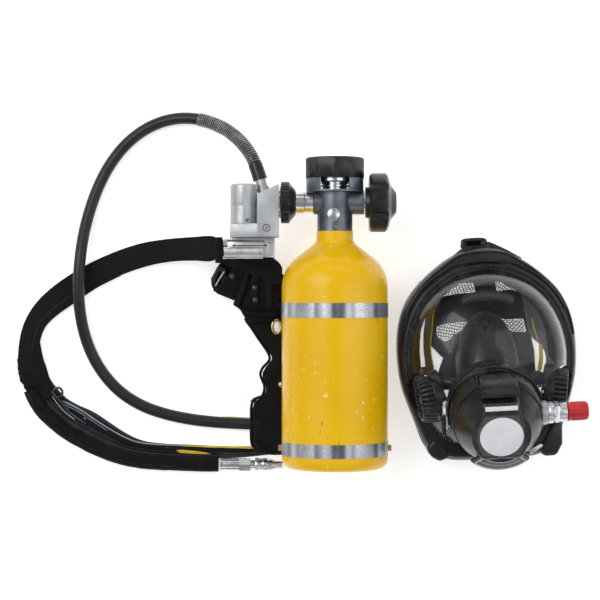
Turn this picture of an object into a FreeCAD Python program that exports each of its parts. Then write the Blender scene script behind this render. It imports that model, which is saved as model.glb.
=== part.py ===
import FreeCAD, Part
import math
import os

# Short-duration breathing apparatus, laid out on a table: a small gas bottle on its side with its
# valve, gauge and pressure reducer, a waist harness with two hoses, and a full face mask with its
# demand regulator. Millimetres. +X is the wearer's side of the valve handwheel, +Y runs from the
# bottle's base to its valve, +Z is up. The origin is on the table under the middle of the set.

# ---- driving dimensions ----
TABLE_GAP = 0.3          # clearance between pieces that only lie against each other
PAD_THICK = 10.0         # back pad under the bottle

BOTTLE_R = 55.65         # 4.38 in aluminium bottle
BOTTLE_WALL = 6.0
BOTTLE_X = 43.0
BASE_Y = -163.0
WALL_TOP_Y = 26.5
SHOULDER_R = 40.0
SHOULDER_TURN = 52.0
NECK_R = 19.3
NECK_BORE_R = 12.0
NECK_TOP_Y = 85.5
BAND_THICK = 0.5
AXIS_Z = PAD_THICK + BAND_THICK + 0.35 + BOTTLE_R
UPPER_BAND_Y = (-4.7, 10.5)
LOWER_BAND_Y = (-148.5, -134.5)

CROSS_Y = 115.7          # common axis of outlet, seat and handwheel
CROSS_R = 12.5
CROSS_X = (21.0, 73.8)
VALVE_R = 18.5
PLATFORM_Y = 128.3
CAGE_R = 30.0
CAGE_TOP_Y = 142.5
CAP_TOP_Y = 162.5
CAP_R = 32.0
CAP_SIDES = 10
SPINDLE_R = 6.0
RUNNING = 0.06           # radial clearance of every turning or sliding fit
SEAT_TRAVEL = 3.75       # plunger lift over the handwheel's whole 2.5 turns

WHEEL_R = 31.0
WHEEL_X = (75.0, 98.5)
WHEEL_LOBES = 6

STEM_R = 10.8
THREAD_R = 9.5
COUPLING_R = 21.8
COUPLING_X = (-13.6, -4.5)
FLANGE_R = 16.4

REDUCER_X = (-66.6, -15.8)
REDUCER_Z = (46.0, 86.0)
REDUCER_Y = (79.2, 93.2, 134.0)
REDUCER_CAP_R = 14.0
REDUCER_CAP_X = -52.5
REDUCER_CAP_TOP = 135.2

CLIP_X = (-75.0, -20.3)
CLIP_Y = (58.3, 78.9)
CLIP_Z = (38.0, 66.0)
CLIP_PIN_Y = 73.4
CLIP_SHEET = 2.5

HOSE_R = 6.35            # low-pressure hose, 12.7 mm
SLEEVE_R = 7.9           # airline hose in its padded sleeve
PLUG_Y = -164.6
PLUG_Z = 8.0
NOSE_R = 4.4             # the airline plug's free end, which a socket takes

MASK_X = 204.5           # middle of the face opening on the table
MASK_Y = -41.5
MASK_ROLL = 3.0
PORT_Y = -58.0           # regulator axis at the mask's collar
PORT_Z = 100.0
PORT_TILT = 25.0
PORT_R = 48.0
SPIGOT_R = 33.94
DRUM_R = 47.6
KNOB_RISE = 12.0         # union and purge knob above the collar, along the regulator axis
BUTTON_SIDE = [          # donning button from the side: distance from the regulator axis, rise
    (41.4, 4.4), (45.6, 4.4), (45.8, 9.4), (48.0, 9.4), (48.6, 14.0), (48.4, 31.8), (45.2, 41.4),
    (40.6, 49.0), (38.6, 47.8), (42.8, 40.4), (45.8, 31.0), (45.8, 20.8), (41.4, 20.8),
]

# ---- cord routes, points in the row frame ----
HOSE_ROUTE = [
    (-35.4, 140.2, 58.0), (-39.6, 154.3, 57.0), (-46.4, 169.0, 52.5), (-57.8, 183.8, 43.0),
    (-73.7, 196.9, 31.0), (-93.6, 206.3, 19.5), (-115.6, 210.7, 11.0), (-138.6, 208.4, 7.0),
    (-161.4, 198.9, 6.6), (-183.0, 181.9, 6.6), (-200.4, 159.2, 6.6), (-213.3, 133.7, 6.6),
    (-222.3, 106.5, 9.0), (-228.1, 78.2, 16.0), (-231.1, 47.9, 21.5), (-231.8, 18.9, 21.5),
    (-229.4, -10.2, 15.5), (-222.3, -38.4, 8.5), (-209.0, -63.9, 6.6), (-190.1, -85.3, 6.6),
    (-166.8, -100.5, 6.6), (-141.3, -109.7, 6.6), (-114.8, -115.4, 6.6), (-88.8, -118.6, 6.6),
    (-62.8, -120.1, 6.6), (-41.2, -121.0, 7.4), (-24.0, -121.4, 9.2),
]
GUARD_SPANS = 5          # hose runs under the wound bend guard, counted from the elbow
AIRLINE_ROUTE = [
    (-285.2, -83.6, 8.0), (-279.2, -99.1, 8.0), (-264.1, -115.3, 8.0), (-250.0, -127.2, 8.0),
    (-233.8, -136.9, 8.0), (-215.4, -146.7, 8.0), (-195.0, -155.0, 8.0), (-171.0, -160.7, 8.0),
    (-145.0, -162.9, 8.0), (-116.0, -164.0, 8.0), (-80.3, PLUG_Y, PLUG_Z),
]

# ---- harness outlines, points in the row frame: (outer edge, inner edge, underside height) ----
UPPER_BELT = [
    ((-42.0, 73.4), (-42.0, 61.4), 47.0), ((-74.0, 74.4), (-76.0, 60.4), 46.0),
    ((-86.0, 81.3), (-88.0, 54.6), 42.0), ((-107.4, 80.9), (-107.4, 55.4), 32.0),
    ((-137.6, 79.0), (-131.0, 54.8), 17.0), ((-167.6, 74.4), (-157.7, 50.3), 6.0),
    ((-197.8, 64.4), (-187.7, 40.3), 1.0), ((-227.9, 50.3), (-214.0, 27.0), 0.0),
    ((-256.0, 32.4), (-240.0, 9.6), 0.0), ((-276.0, 15.0), (-259.0, -4.2), 0.0),
    ((-289.0, -2.8), (-270.0, -16.0), 0.0), ((-296.4, -22.0), (-275.6, -31.0), 0.0),
    ((-299.6, -46.0), (-277.6, -46.0), 0.0), ((-299.4, -68.0), (-271.0, -56.0), 0.0),
]
LOWER_BELT = [
    ((-299.2, -70.0), (-269.4, -57.6), 0.0), ((-291.0, -74.4), (-267.5, -64.0), 0.0),
    ((-276.4, -80.0), (-263.5, -74.0), 0.0), ((-269.2, -94.6), (-249.6, -90.6), 0.0),
    ((-247.4, -114.6), (-235.4, -99.8), 0.0),
    ((-226.4, -128.0), (-215.6, -109.0), 0.0), ((-200.0, -140.8), (-186.5, -128.4), 0.0),
    ((-176.0, -149.2), (-167.0, -138.0), 0.0), ((-147.0, -152.6), (-146.0, -141.8), 0.0),
    ((-107.0, -154.4), (-107.0, -143.8), 0.0), ((-67.0, -154.6), (-67.0, -145.6), 0.0),
    ((-46.0, -153.6), (-46.0, -146.2), 0.0), ((-28.0, -152.0), (-28.0, -145.4), 0.0),
]
BELT_THICK = 4.0
PAD_OUTLINE = [
    (-55.0, -4.6), (-26.0, -48.5), (-36.8, -62.6), (-36.8, -71.0), (-31.9, -80.3), (-35.5, -90.3),
    (-44.8, -94.3), (-47.4, -102.2), (-47.4, -140.0), (-42.9, -146.4), (-27.0, -152.6),
    (85.0, -152.6), (85.0, 24.0), (12.0, 24.0), (2.0, -4.6),
]
PAD_FOLD = [
    (-70.0, 19.5), (-2.0, 19.5), (8.0, 0.0), (90.0, 0.0), (90.0, PAD_THICK), (3.0, PAD_THICK),
    (-6.0, 27.5), (-70.0, 27.5),
]
POUCH_OUTLINE = [
    (-72.0, 24.0), (-70.0, 44.0), (-60.0, 54.0), (-42.0, 56.0), (-20.0, 51.0), (-8.0, 40.0),
    (-8.0, -3.6), (-36.0, -3.6), (-55.0, -2.0), (-64.0, 10.0),
]
POUCH_Z = (12.0, 33.0)

# ---- mask outlines, half of each, points in the mask's own frame from crown to chin ----
SEAL_HALF = [
    (20.0, 108.5), (43.0, 96.5), (64.0, 80.0), (80.0, 62.0), (90.0, 41.0), (94.5, 18.0),
    (95.0, -6.0), (92.6, -30.0), (86.0, -54.0), (78.0, -78.0), (70.0, -98.0), (54.0, -110.0),
    (28.0, -114.0),
]
LENS_HALF = [
    (20.0, 84.5), (41.0, 76.0), (59.0, 62.5), (72.0, 45.0), (80.0, 25.0), (84.0, 4.0),
    (83.6, -16.0), (79.0, -38.0), (70.0, -62.0), (59.0, -82.0), (43.0, -94.0), (22.0, -98.0),
]
OUTLINE_MIDDLE = (0.0, -5.0)
CUP_LEVELS = [           # nose cup ovals: half width, half height, middle, height
    (34.0, 62.0, -18.0, 42.0), (32.4, 57.0, -20.0, 56.0), (28.0, 45.0, -26.0, 71.0),
    (21.0, 28.0, -37.0, 83.0),
]

NODES = {}
V = FreeCAD.Vector


# ---- helpers ----
def node(name, *solids):
    """Keep one sub-part: a single solid, or several that stay separate."""
    parts = []
    for shape in solids:
        parts += shape.Solids
    assert parts, name
    NODES[name] = parts[0] if len(parts) == 1 else Part.makeCompound(parts)


def placed(shape, origin, along, across):
    """Move a shape from its own frame so that its Z runs along and its X runs across."""
    turn = FreeCAD.Rotation(V(*across), V(0, 0, 0), V(*along), "ZXY")
    moved = shape.copy()
    moved.Placement = FreeCAD.Placement(V(*origin), turn).multiply(shape.Placement)
    return moved


def box(x, y, z):
    return Part.makeBox(x[1] - x[0], y[1] - y[0], z[1] - z[0], V(x[0], y[0], z[0]))


def rod_x(radius, x, y, z):
    return Part.makeCylinder(radius, x[1] - x[0], V(x[0], y, z), V(1, 0, 0))


def rod_y(radius, y, x, z):
    return Part.makeCylinder(radius, y[1] - y[0], V(x, y[0], z), V(0, 1, 0))


def rod_z(radius, z, x=0.0, y=0.0):
    return Part.makeCylinder(radius, z[1] - z[0], V(x, y, z[0]), V(0, 0, 1))


def prism(outline, z):
    loop = Part.makePolygon([V(x, y, z[0]) for x, y in outline + outline[:1]])
    return Part.Face(loop).extrude(V(0, 0, z[1] - z[0]))


def turned(profile):
    """Revolve a closed outline of (radius, height) points about Z."""
    loop = Part.makePolygon([V(r, 0, h) for r, h in profile + profile[:1]])
    return Part.Face(loop).revolve(V(0, 0, 0), V(0, 0, 1), 360)


def along_x(shape):
    """A turned piece whose height runs along +X, on the valve's cross axis."""
    return placed(shape, (0, CROSS_Y, AXIS_Z), (1, 0, 0), (0, 0, 1))


def along_y(shape):
    """A turned piece whose height runs along +Y, on the bottle's axis."""
    return placed(shape, (BOTTLE_X, 0, AXIS_Z), (0, 1, 0), (1, 0, 0))


def rounded_path(points):
    """Straight runs joined by tangent arcs as large as the runs allow; also the arc radii."""
    spots = [V(*p) for p in points]
    edges, radii, start = [], [], spots[0]
    for before, corner, after in zip(spots, spots[1:], spots[2:]):
        into, out = corner - before, after - corner
        reach = 0.45 * min(into.Length, out.Length)
        turn = into.getAngle(out)
        into.normalize()
        out.normalize()
        radius = reach / math.tan(turn / 2)
        inward = (out - into).normalize()
        crown = corner + inward * (math.hypot(radius, reach) - radius)
        first, last = corner - into * reach, corner + out * reach
        edges.append(Part.LineSegment(start, first).toShape())
        edges.append(Part.Arc(first, crown, last).toShape())
        radii.append(radius)
        start = last
    edges.append(Part.LineSegment(start, spots[-1]).toShape())
    return Part.Wire(edges), radii


def tube(points, radius):
    path, radii = rounded_path(points)
    heading = V(*points[1]) - V(*points[0])
    ring = Part.Wire(Part.makeCircle(radius, V(*points[0]), heading))
    return path.makePipeShell([ring], True, False), path.Length, radii


def cord(name, points, radius):
    solid, length, radii = tube(points, radius)
    section = math.pi * radius * radius
    print("%s: length %.1f, volume %.0f against %.0f, tightest radius %.1f" % (
        name, length, solid.Volume, section * length, min(radii)))
    print("   radii", [round(r) for r in radii])
    node(name, solid)


def ribbon(sections, thick):
    """A flat strap through sections of (outer edge, inner edge, underside height)."""
    loops = []
    for (ox, oy), (ix, iy), low in sections:
        corners = [V(ox, oy, low), V(ix, iy, low), V(ix, iy, low + thick), V(ox, oy, low + thick)]
        loops.append(Part.makePolygon(corners + corners[:1]))
    return Part.makeLoft(loops, True, True)


def outline(half, scale, z):
    """A smooth closed curve through a mirrored half outline, scaled about the mask's middle."""
    mx, my = OUTLINE_MIDDLE
    whole = half + [(-x, y) for x, y in reversed(half)]
    spots = [V(mx + (x - mx) * scale, my + (y - my) * scale, z) for x, y in whole]
    curve = Part.BSplineCurve()
    curve.interpolate(Points=spots, PeriodicFlag=True)
    return Part.Wire(curve.toShape())


def dome(half, levels):
    """A solid through scaled outlines at (scale, height) levels."""
    return Part.makeLoft([outline(half, scale, z) for scale, z in levels], True, False)


def oval(rx, ry, cx, cy, z):
    """An ellipse as a wire, its longer half-axis first whichever way it lies."""
    if rx >= ry:
        curve = Part.Ellipse(V(cx + rx, cy, z), V(cx, cy + ry, z), V(cx, cy, z))
    else:
        curve = Part.Ellipse(V(cx, cy + ry, z), V(cx - rx, cy, z), V(cx, cy, z))
    return Part.Wire(curve.toShape())


def in_mask(shape):
    """From the mask's frame to the row frame."""
    roll = math.radians(MASK_ROLL)
    return placed(shape, (MASK_X, MASK_Y, 0), (0, 0, 1), (math.cos(roll), math.sin(roll), 0))


def on_port(shape):
    """From the regulator's frame, whose Z leaves the mask, to the mask's frame."""
    tilt = math.radians(PORT_TILT)
    return placed(shape, (0, PORT_Y, PORT_Z), (0, -math.sin(tilt), math.cos(tilt)), (1, 0, 0))


# ---- bottle ----
def bottle_profile(wall, base, chamfer, neck_r, top):
    """Half outline of the bottle, drawn in by a wall thickness, as a closed wire in (r, h)."""
    r, turn = BOTTLE_R - wall, math.radians(SHOULDER_TURN)
    bend, mid = SHOULDER_R - wall, BOTTLE_R - SHOULDER_R
    crown = V(mid + bend * math.cos(turn / 2), 0, WALL_TOP_Y + bend * math.sin(turn / 2))
    end = V(mid + bend * math.cos(turn), 0, WALL_TOP_Y + bend * math.sin(turn))
    foot = BASE_Y + base
    corner = V(r - chamfer * 0.293, 0, foot + chamfer * 0.293)
    spots = [V(0, 0, foot), V(r - chamfer, 0, foot), V(r, 0, foot + chamfer), V(r, 0, WALL_TOP_Y),
             end, V(neck_r + 2.2, 0, top - 13.0), V(neck_r, 0, top - 9.0), V(neck_r, 0, top),
             V(0, 0, top)]
    edges = [
        Part.makeLine(spots[0], spots[1]),
        Part.Arc(spots[1], corner, spots[2]).toShape(),
        Part.makeLine(spots[2], spots[3]),
        Part.Arc(spots[3], crown, spots[4]).toShape(),
    ]
    edges += [Part.makeLine(a, b) for a, b in zip(spots[4:], spots[5:] + spots[:1])]
    return Part.Face(Part.Wire(edges)).revolve(V(0, 0, 0), V(0, 0, 1), 360)


def make_bottle():
    outside = bottle_profile(0.0, 0.0, 10.0, NECK_R, NECK_TOP_Y)
    inside = bottle_profile(BOTTLE_WALL, 8.0, 8.0, NECK_BORE_R, NECK_TOP_Y - 3.0)
    bore = rod_z(NECK_BORE_R, (NECK_TOP_Y - 20.0, NECK_TOP_Y + 1.0))
    node("bottle_shell", along_y(outside.cut(inside).cut(bore)))
    bands = []
    for low, high in (UPPER_BAND_Y, LOWER_BAND_Y):
        strip = rod_z(BOTTLE_R + BAND_THICK, (low, high)).cut(rod_z(BOTTLE_R, (low, high)))
        bands.append(along_y(strip))
    node("bottle_bands", *bands)
    hooks = []
    middle = sum(LOWER_BAND_Y) / 2
    for side in (-1, 1):
        root = BOTTLE_X + side * (BOTTLE_R + BAND_THICK)
        tip = root + side * 3.2
        x = (min(root, tip), max(root, tip))
        hooks.append(box(x, (middle - 3.0, middle + 3.0), (AXIS_Z - 4.0, AXIS_Z + 4.0)))
    node("band_hooks", *hooks)


# ---- valve and gauge ----
def make_valve():
    y_axis = {"x": BOTTLE_X, "z": AXIS_Z}
    seat_x = 50.0
    body = rod_y(VALVE_R, (NECK_TOP_Y, PLATFORM_Y), **y_axis)
    body = body.fuse(rod_y(CAGE_R, (PLATFORM_Y - 1.6, PLATFORM_Y), **y_axis))
    body = body.fuse(rod_y(NECK_BORE_R - 0.05, (62.0, NECK_TOP_Y), **y_axis))
    body = body.fuse(rod_x(CROSS_R, CROSS_X, CROSS_Y, AXIS_Z))
    body = body.cut(rod_x(SPINDLE_R + RUNNING, (seat_x, CROSS_X[1] + 1.0), CROSS_Y, AXIS_Z))
    body = body.cut(rod_x(3.0, (CROSS_X[0] - 1.0, seat_x + 1.0), CROSS_Y, AXIS_Z))
    body = body.cut(rod_y(3.5, (61.0, CROSS_Y - 4.0), **y_axis))
    disc_y = CROSS_Y - 13.0
    body = body.cut(rod_z(6.0, (AXIS_Z + 12.5, AXIS_Z + 30.0), BOTTLE_X - 1.5, disc_y))
    node("valve_body", body.removeSplitter())
    plug = rod_z(5.9, (AXIS_Z + 12.5, AXIS_Z + 15.5), BOTTLE_X - 1.5, disc_y)
    hexagon = [(BOTTLE_X - 1.5 + 5.0 * math.cos(math.radians(60 * k)),
                disc_y + 5.0 * math.sin(math.radians(60 * k))) for k in range(6)]
    plug = plug.fuse(prism(hexagon, (AXIS_Z + 15.5, AXIS_Z + 18.2)))
    plug = plug.cut(rod_z(1.2, (AXIS_Z + 14.0, AXIS_Z + 19.0), BOTTLE_X - 1.5, disc_y))
    node("burst_disc_plug", plug.removeSplitter())

    cage = rod_y(CAGE_R, (PLATFORM_Y, CAGE_TOP_Y), **y_axis)
    cage = cage.cut(rod_y(CAGE_R - 6.0, (PLATFORM_Y, CAGE_TOP_Y), **y_axis))
    window = box((BOTTLE_X - 14.7, BOTTLE_X + 14.7), (PLATFORM_Y, CAGE_TOP_Y),
                 (AXIS_Z - 40.0, AXIS_Z + 40.0))
    node("gauge_cage", cage.cut(window))

    nut = turned([(6.1, 128.4), (14.0, 128.4), (14.0, 130.2), (12.6, 130.8), (12.6, 131.6),
                  (14.5, 132.2), (14.5, 133.6), (12.8, 134.2), (12.8, 134.9), (14.0, 135.4),
                  (14.0, 136.4), (6.1, 136.4)])
    node("gauge_nut", along_y(nut))
    case = turned([(0.0, PLATFORM_Y), (6.0, PLATFORM_Y), (6.0, 136.5), (19.0, 136.5),
                   (19.8, 138.0), (19.8, 158.0), (18.5, 158.0), (18.5, 140.0), (0.0, 140.0)])
    node("gauge_case", along_y(case))
    node("gauge_dial", along_y(turned([(0.9, 149.0), (18.4, 149.0), (18.4, 150.0), (0.9, 150.0)])))
    node("gauge_lens", along_y(rod_z(18.4, (155.0, 157.0))))
    hub = rod_z(0.84, (146.0, 151.0)).fuse(rod_z(2.2, (151.0, 152.4)))
    blade = prism([(-1.1, -5.0), (1.1, -5.0), (0.3, 14.5), (-0.3, 14.5)], (151.3, 152.0))
    blade.rotate(V(0, 0, 0), V(0, 0, 1), -45)
    node("gauge_needle", along_y(hub.fuse(blade).removeSplitter()))

    sides = [math.radians(360.0 * (k + 0.5) / CAP_SIDES) for k in range(CAP_SIDES)]
    facets = [(CAP_R * math.cos(a), CAP_R * math.sin(a)) for a in sides]
    cap = prism(facets, (CAGE_TOP_Y - 1.5, CAP_TOP_Y)).common(
        turned([(0.0, 141.0), (31.4, 141.0), (32.0, 143.0), (32.0, 160.0), (30.0, CAP_TOP_Y),
                (0.0, CAP_TOP_Y)]))
    cap = cap.cut(rod_z(CAGE_R + 0.1, (CAGE_TOP_Y - 2.0, CAGE_TOP_Y)))
    cap = cap.cut(rod_z(26.0, (147.0, CAP_TOP_Y + 1.0))).cut(rod_z(19.9, (140.0, 148.0)))
    node("guard_cap", along_y(cap))


def make_handwheel():
    span = SEAT_TRAVEL + 0.6
    plunger = turned([(0.0, 50.2), (3.6, 50.2), (5.9, 51.4), (5.9, 59.0), (0.0, 59.0)])
    slot = Part.makeBox(2.4, 12.5, 7.0, V(-1.2, -6.25, 52.2))
    node("valve_plunger", along_x(plunger.cut(slot)))
    start = 59.0 + span
    tongue = Part.makeBox(2.2, 9.0, 10.0, V(-1.1, -4.5, start - 7.2))
    spindle = rod_z(SPINDLE_R, (start, 96.0)).fuse(tongue)
    spindle = spindle.cut(rod_z(1.5, (88.0, 97.0)))
    node("valve_spindle", along_x(spindle.removeSplitter()))

    low, high = WHEEL_X
    wheel = turned([(SPINDLE_R, low), (16.0, low), (17.0, low + 4.0), (28.5, low + 4.0),
                    (WHEEL_R, low + 6.5), (WHEEL_R, high - 2.5), (28.5, high), (18.0, high + 3.2),
                    (11.0, high + 8.8), (7.2, high + 8.8), (7.2, 96.0), (SPINDLE_R, 96.0)])
    for k in range(WHEEL_LOBES):
        angle = math.radians(360.0 / WHEEL_LOBES * (k + 0.5))
        x, y = 33.0 * math.cos(angle), 33.0 * math.sin(angle)
        wheel = wheel.cut(rod_z(5.6, (low - 1.0, high + 12.0), x, y))
    node("handwheel", along_x(wheel))
    screw = rod_z(1.45, (89.0, 96.0)).fuse(rod_z(7.1, (96.0, 99.5)))
    screw = screw.cut(Part.makeBox(1.6, 16.0, 1.6, V(-0.8, -8.0, 98.2)))
    node("handwheel_screw", along_x(screw.removeSplitter()))


# ---- outlet, coupling and reducer ----
def make_outlet():
    stem = turned([(3.0, -8.0), (THREAD_R - 1.0, -8.0), (THREAD_R, -7.0), (THREAD_R, 2.6),
                   (11.8, 2.6), (11.8, 10.6), (STEM_R, 11.4), (STEM_R, 20.2), (3.0, 20.2)])
    node("outlet_stem", along_x(stem))
    node("outlet_seal", along_x(turned([(3.2, 20.2), (10.8, 20.2), (10.8, 21.0), (3.2, 21.0)])))

    low, high = COUPLING_X
    wheel = turned([(7.06, low), (COUPLING_R - 1.0, low), (COUPLING_R, low + 1.0),
                    (COUPLING_R, high - 0.6), (COUPLING_R - 1.2, high), (19.0, high + 1.2),
                    (14.0, high + 5.6), (11.9, 2.3), (THREAD_R + RUNNING, 2.3),
                    (THREAD_R + RUNNING, -8.2), (7.06, -8.2)])
    for k in range(30):
        angle = math.radians(12.0 * k)
        notch = rod_z(0.9, (low - 1.0, high + 0.5), (COUPLING_R + 0.2) * math.cos(angle),
                      (COUPLING_R + 0.2) * math.sin(angle))
        wheel = wheel.cut(notch)
    node("coupling_wheel", along_x(wheel))

    flange = turned([(3.0, -18.4), (FLANGE_R - 0.6, -18.4), (FLANGE_R, -17.8), (FLANGE_R, -14.6),
                     (FLANGE_R - 0.6, -14.0), (7.0, -14.0), (7.0, -8.4), (3.0, -8.4)])
    holes = [(math.radians(a), 12.0) for a in (30.0, 150.0, 270.0)]
    screws = []
    for angle, reach in holes:
        x, y = reach * math.cos(angle), reach * math.sin(angle)
        flange = flange.cut(rod_z(1.6, (-19.0, -13.0), x, y))
        screws.append(along_x(rod_z(1.55, (-26.0, -14.6), x, y)))
    node("inlet_flange", along_x(flange))
    node("flange_screws", *screws)
    return screws


def make_reducer(screws):
    x, (y0, y1, y2), z = REDUCER_X, REDUCER_Y, REDUCER_Z
    lean = [(-38.0, y0 + 1.0), (x[1], y0 + 1.0), (x[1], y2), (-38.0, 123.8)]
    body = prism(lean, z).fuse(box(x, (y0, y1), (z[0] + 2.0, z[1] - 2.0)))
    body = body.fuse(rod_y(REDUCER_CAP_R, (y1 - 1.0, 112.0), REDUCER_CAP_X, AXIS_Z))
    body = body.fuse(rod_x(FLANGE_R - 1.0, (x[1] - 4.0, -18.4), CROSS_Y, AXIS_Z))
    body = body.cut(rod_x(3.0, (-44.0, -18.0), CROSS_Y, AXIS_Z))
    body = body.cut(rod_y(9.0, (96.0, 113.0), REDUCER_CAP_X, AXIS_Z))
    body = body.cut(rod_x(FLANGE_R + TABLE_GAP, (-18.4, -10.0), CROSS_Y, AXIS_Z))
    for screw in screws:
        body = body.cut(screw)
    mouth = V(*HOSE_ROUTE[0])
    lean = (V(*HOSE_ROUTE[1]) - mouth).normalize()
    elbow = Part.makeCylinder(5.6, 22.0, mouth - lean * 22.0, lean)
    relief = Part.makeCylinder(7.2, 12.0, mouth - lean * 14.0, lean)
    body = body.cut(elbow).cut(relief)
    node("reducer_housing", body.removeSplitter())
    collar = Part.makeCylinder(6.8, 4.6, mouth - lean * 13.5, lean)
    bore = Part.makeCylinder(2.6, 23.0, mouth - lean * 22.5, lean)
    node("hose_elbow", elbow.fuse(collar).cut(bore).removeSplitter())

    cap = turned([(0.0, 131.0), (10.4, 131.0), (10.4, 112.1), (REDUCER_CAP_R, 112.1),
                  (REDUCER_CAP_R, 133.6), (REDUCER_CAP_R - 1.6, REDUCER_CAP_TOP),
                  (0.0, REDUCER_CAP_TOP)])
    cap = placed(cap, (REDUCER_CAP_X, 0, AXIS_Z), (0, 1, 0), (1, 0, 0))
    node("reducer_cap", cap.cut(relief))
    piston = turned([(0.0, 98.0), (9.0 - RUNNING, 98.0), (9.0 - RUNNING, 111.5), (6.4, 111.5),
                     (6.4, 103.0), (0.0, 103.0)])
    node("reducer_piston", placed(piston, (REDUCER_CAP_X, 0, AXIS_Z), (0, 1, 0), (1, 0, 0)))
    wire, pitch, height = 0.9, 4.4, 26.0
    helix = Part.makeHelix(pitch, height - 2 * wire, 4.6)
    ring = Part.Wire(Part.makeCircle(wire, V(4.6, 0, 0), V(0, 1, 0)))
    spring = Part.Wire(helix).makePipeShell([ring], True, True)
    spring.translate(V(0, 0, 103.0 + wire + 0.4))
    node("reducer_spring", placed(spring, (REDUCER_CAP_X, 0, AXIS_Z), (0, 1, 0), (1, 0, 0)))


def make_clip():
    x, y, z = CLIP_X, CLIP_Y, CLIP_Z
    sheet = CLIP_SHEET
    front = z[1]
    back = box(x, y, (z[0], z[0] + sheet))
    top = box(x, (y[1] - sheet, y[1]), (z[0], front))
    right = box((x[1] - sheet, x[1]), y, (z[0], front))
    face = box((-31.0, x[1]), y, (front - sheet, front))
    bracket = back.fuse(top).fuse(right).fuse(face)
    pin_z = front - 2.6
    for ear in ((-74.0, -70.0), (-31.0, -27.0)):
        bracket = bracket.fuse(box(ear, (CLIP_PIN_Y - 2.6, y[1]), (pin_z - 2.6, front)))
    bracket = bracket.cut(rod_x(1.5, (-76.0, -26.0), CLIP_PIN_Y, pin_z))
    node("clip_bracket", bracket.removeSplitter())
    node("clip_pin", rod_x(1.5, (-74.0, -27.2), CLIP_PIN_Y, pin_z))
    plate = box((-73.6, -32.0), (y[0] - 0.6, CLIP_PIN_Y - 3.2), (front - sheet, front))
    barrel = rod_x(2.6, (-69.6, -31.4), CLIP_PIN_Y, pin_z)
    web = box((-69.6, -32.0), (CLIP_PIN_Y - 3.4, CLIP_PIN_Y), (pin_z, pin_z + 2.6))
    swing = box((-75.0, -69.6), (CLIP_PIN_Y - 4.6, CLIP_PIN_Y), (front - 6.0, front + 1.0))
    plate = plate.cut(swing).fuse(barrel).fuse(web)
    plate = plate.cut(rod_x(1.5 + RUNNING, (-75.0, -26.0), CLIP_PIN_Y, pin_z))
    node("clip_plate", plate.removeSplitter())


# ---- hoses ----
def make_hoses():
    cord("lp_hose", HOSE_ROUTE, HOSE_R)
    guarded = HOSE_ROUTE[:GUARD_SPANS + 3]
    outer, _, _ = tube(guarded, HOSE_R + 1.0)
    inner, _, _ = tube(guarded, HOSE_R + 0.15)
    span = box((HOSE_ROUTE[GUARD_SPANS][0] + 2.0, -30.0), (154.6, 230.0), (0.0, 70.0))
    node("bend_guard", outer.cut(inner).common(span))
    start, lean = V(*HOSE_ROUTE[0]), V(*HOSE_ROUTE[1]) - V(*HOSE_ROUTE[0])
    boot = Part.makeCone(6.9, 8.0, lean.Length * 0.55, start, lean)
    node("hose_boot", boot.cut(Part.makeCylinder(HOSE_R + 0.1, 40.0, start - lean, lean)))
    end, before = V(*HOSE_ROUTE[-1]), V(*HOSE_ROUTE[-2])
    lean = (end - before).normalize()
    socket = turned([(0.0, 0.2), (7.4, 0.2), (7.4, 5.0), (8.6, 5.6), (8.6, 17.0), (7.6, 18.0),
                     (0.0, 18.0)])
    node("hose_socket", placed(socket, end, lean, (0, 1, 0)))

    cord("airline_hose", AIRLINE_ROUTE, SLEEVE_R)
    ferrule = rod_z(6.9, (-80.0, -59.2)).fuse(rod_z(7.6, (-80.0, -77.6)))
    hexagon = [(7.8 * math.cos(math.radians(60 * k)), 7.8 * math.sin(math.radians(60 * k)))
               for k in range(6)]
    plug = prism(hexagon, (-59.0, -47.0)).common(rod_z(7.5, (-59.0, -47.0)))
    plug = plug.fuse(turned([(0.0, -47.0), (5.0, -47.0), (5.0, -27.0), (6.2, -26.6), (6.2, -24.0),
                             (NOSE_R, -19.0), (NOSE_R, -12.4), (0.0, -12.4)]))
    plug = plug.cut(rod_z(2.0, (-60.0, -12.0)))
    collar = turned([(5.06, -42.4), (6.9, -42.4), (7.4, -41.6), (7.4, -38.6), (6.7, -38.0),
                     (6.7, -34.0), (7.3, -33.4), (7.3, -29.0), (6.6, -27.4), (5.06, -27.4)])
    for name, piece in (("airline_ferrule", ferrule), ("airline_plug", plug),
                        ("airline_collar", collar)):
        moved = placed(piece.removeSplitter(), (0, PLUG_Y, PLUG_Z), (1, 0, 0), (0, 0, 1))
        node(name, moved)


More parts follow.
